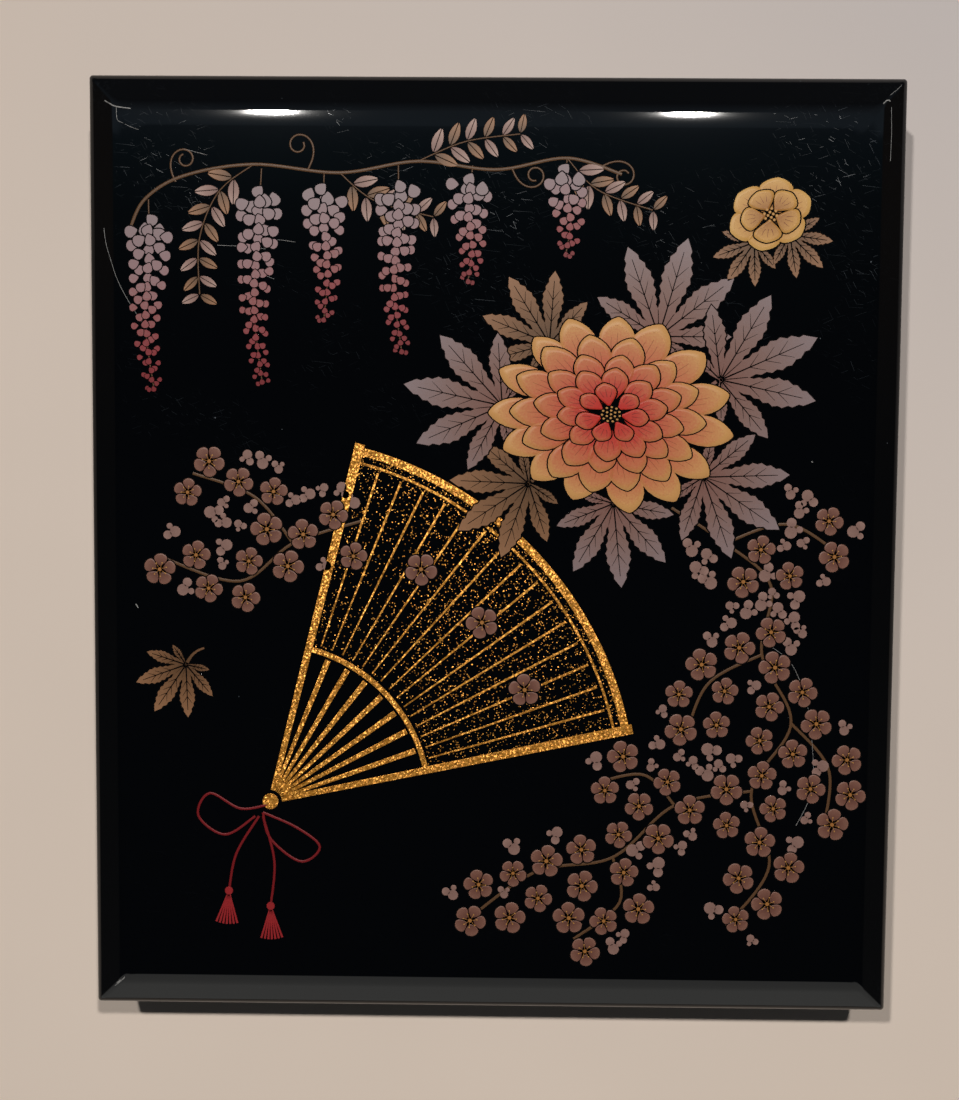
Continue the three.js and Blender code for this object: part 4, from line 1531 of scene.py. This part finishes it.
class LACQUERBOX_OT_wisteria(bpy.types.Operator):
    """Hang the wisteria: its vine, feathered leaves and racemes that turn vermilion at their tips"""

    bl_idname = "lacquer_box.wisteria"
    bl_label = "Wisteria"

    def execute(self, context):
        motifs = box_settings().motif
        laid("wisteria_vine", "bronze_powder_lacquer", [
            stems(WISTERIA_VINES, thickness=0.9, storeys=0.0, spacing=1.2, tip=0.35),
            stems(map(curled_route, *zip(*TENDRILS)), thickness=0.5, storeys=-0.2, spacing=0.5, tip=0.5),
            stems(WISTERIA_STALKS + RACEMES, thickness=0.36, storeys=-0.3, spacing=1.2, tip=0.5)])

        def reach_of(point):
            return point.length / LEAFLET_REACH

        halves = half_leaf_outlines(**LEAFLET)
        leaflet = template("leaflet", halves, level(0.2), reach_of)
        for name, finish, side, seed in (
                ("wisteria_leaves_mauve", "mauve_pink_lacquer", 1.0, 5),
                ("wisteria_leaves_bronze", "bronze_powder_lacquer", -1.0, 8)):
            laid(name, finish, [spray(
                WISTERIA_STALKS, leaflet, 0.16, spacing=4.4, lean=56, wander=9, standoff=0.5,
                sizes=(1.0, 0.75), side=side, seed=seed)])
        floret = petal_outline(**FLORET)
        around = inset_outline(floret, -FLORET_LINE * motifs.outline)
        for name, finish, outline, storey, ease in (
                ("wisteria_florets", "mauve_to_vermilion_lacquer", floret, 1.0, 0.08 * MM),
                ("wisteria_outlines", "black_line_lacquer", around, 0.75, 0.0)):
            laid(name, finish, [
                spray(
                    RACEMES, template(name, [outline], level(storey + ROW_RISE * row), ease=ease), 0.1,
                    spacing=spacing, lean=lean, wander=14, standoff=standoff, sizes=sizes, side=side,
                    seed=seed, layering=FLORET_RISE * motifs.storey)
                for row, (spacing, lean, standoff, *sizes, side, seed) in enumerate(FLORET_ROWS)])
        clear_templates()
        return {"FINISHED"}


# Wear on the lid, from first to last point of each mark: hair-thin scratches, and short deeper nicks
SCRATCHES = (
    ((-102.8, 82.9), (-101.8, 78.6), (-98.8, 72.5), (-94.7, 64.7), (-89.6, 56.8)),
    ((69.5, -22.2), (77.4, -27.9), (81.7, -37.8), (83.5, -48.3), (83.8, -61.5), (79.8, -71.1)),
    ((-71.5, 78.5), (-64, 78.2), (-58.9, 77.6)),
    ((-58.9, 79.9), (-55, 79.9), (-51.4, 79.4)),
    ((-60.9, 71.5), (-56.8, 70.0)),
    ((-79.8, 102.8), (-73.9, 101.3)),
    ((102, 114.5), (102.3, 108), (102.1, 101)),
    ((-97.2, 113.4), (-97.0, 110.2), (-95.4, 109.3)),
    ((-94.9, 109.0), (-93.2, 108.2), (-91.4, 107.6)),
    ((105.2, 122.2), (100.8, 118.4)),
)
NICKS = (
    ((-101.9, 115.2), (-99.0, 114.0), (-96.9, 113.4), (-93.4, 112.9)),
    ((98.4, 115.4), (99.5, 116.4), (100.5, 116.6), (101.4, 115.9)),
    ((-93.1, -14.2), (-92.4, -15.2)),
    ((81.8, 24.3), (82.1, 24.0)),
    ((-100.3, -117.1), (-98.5, -115.4), (-96.8, -113.8)),
    ((-99.8, -116.2), (-98.2, -114.8)),
)
MARK_WIDTHS = ((SCRATCHES, 0.12, 0.5), (NICKS, 0.32, 0.4))  # the marks, their thickness and taper


class LACQUERBOX_OT_marks(bpy.types.Operator):
    """Scratch and nick the lid where handling has marked it"""

    bl_idname = "lacquer_box.marks"
    bl_label = "Marks"

    def execute(self, context):
        shell = bpy.data.objects["lid_shell"]
        laid("handling_marks", "scraped_urushi", [
            ("mark", routes_carrier(routes), {
                "Shell": shell, "Thickness": thickness * MM, "Spacing": 0.5 * MM, "Tip Share": tip})
            for routes, thickness, tip in MARK_WIDTHS])
        return {"FINISHED"}


# The studio: where the camera and the lamps stand and point, in millimetres and degrees
CAMERA_PLACE = (2.9, 37.5, 510.0)
CAMERA_TURNS = (-4.52, 0.83, 0.42)
LAMP_PLACES = ((-207.0, 377.0, 1184.0), (163.0, 377.0, 1184.0))
LAMP_AIM = (0.0, 0.0, 20.0)
FLOOR_HALF = 4.0  # metres
HOLE_MARGIN = 1.0  # how far the foot rim covers the floor round its opening
LAMP_COLOUR = (1.0, 0.965, 0.92)


class LACQUERBOX_OT_stage(bpy.types.Operator):
    """Set up the pale floor, open under the box, the two lamps, the surroundings and the camera"""

    bl_idname = "lacquer_box.stage"
    bl_label = "Stage"

    def execute(self, context):
        stage = box_settings().stage
        scene = context.scene
        scene.view_settings.view_transform = "Standard"
        bm = bmesh.new()
        hole = (-FOOT_SIDE_LOW.x - HOLE_MARGIN * MM, -FOOT_LOW.y - HOLE_MARGIN * MM)
        outer, inner = (
            [bm.verts.new((x * half[0], y * half[1], 0)) for x, y in ((-1, -1), (1, -1), (1, 1), (-1, 1))]
            for half in ((FLOOR_HALF, FLOOR_HALF), hole))
        for k in range(len(outer)):
            bm.faces.new((outer[k - 1], outer[k], inner[k], inner[k - 1]))
        floor = finished("studio_floor", bm)
        floor.data.materials.append(bpy.data.materials["pale_studio_sheet"])

        for order, place in enumerate(LAMP_PLACES):
            lamp = bpy.data.lights.new(f"lamp_{order}", "AREA")
            lamp.shape = "DISK"
            lamp.size = stage.lamp_size
            lamp.energy = stage.lamp_watts
            lamp.color = LAMP_COLOUR
            made = bpy.data.objects.new(lamp.name, lamp)
            made.location = Vector(place) * MM
            aim = Vector(LAMP_AIM) * MM - made.location
            made.rotation_euler = aim.to_track_quat("-Z", "Y").to_euler()
            scene.collection.objects.link(made)

        scene.world = surroundings(stage)

        camera = bpy.data.cameras.new("photo_camera")
        camera.lens = stage.lens
        camera.sensor_fit = "AUTO"
        camera.sensor_width = 36.0
        seat = bpy.data.objects.new("photo_camera", camera)
        seat.location = Vector(CAMERA_PLACE) * MM
        seat.rotation_euler = [math.radians(a) for a in CAMERA_TURNS]
        scene.collection.objects.link(seat)
        scene.camera = seat
        return {"FINISHED"}


OPERATORS = (
    LACQUERBOX_OT_finishes,
    LACQUERBOX_OT_trees,
    LACQUERBOX_OT_lid,
    LACQUERBOX_OT_body,
    LACQUERBOX_OT_joinery,
    LACQUERBOX_OT_fan,
    LACQUERBOX_OT_cord,
    LACQUERBOX_OT_blooms,
    LACQUERBOX_OT_leaves,
    LACQUERBOX_OT_plum,
    LACQUERBOX_OT_wisteria,
    LACQUERBOX_OT_marks,
    LACQUERBOX_OT_stage,
)


class LACQUERBOX_PT_panel(bpy.types.Panel):
    """Lists the steps that build the box"""

    bl_idname = "LACQUERBOX_PT_panel"
    bl_label = "Lacquer Box"
    bl_space_type = "VIEW_3D"
    bl_region_type = "UI"
    bl_category = "Lacquer Box"

    def draw(self, context):
        for operator in OPERATORS:
            self.layout.operator(operator.bl_idname)


CLASSES = (
    ShellSettings, FinishSettings, MotifSettings, StageSettings, BoxSettings, *OPERATORS, LACQUERBOX_PT_panel)


def register():
    for cls in CLASSES:
        bpy.utils.register_class(cls)
    bpy.types.Scene.lacquer_box = bpy.props.PointerProperty(
        type=BoxSettings, name="Lacquer box", description="Sizes and colours of the lacquer box")


def unregister():
    del bpy.types.Scene.lacquer_box
    for cls in reversed(CLASSES):
        bpy.utils.unregister_class(cls)


def main():
    register()
    for operator in OPERATORS:
        getattr(bpy.ops.lacquer_box, operator.bl_idname.split(".")[1])()


if __name__ == "__main__":
    main()
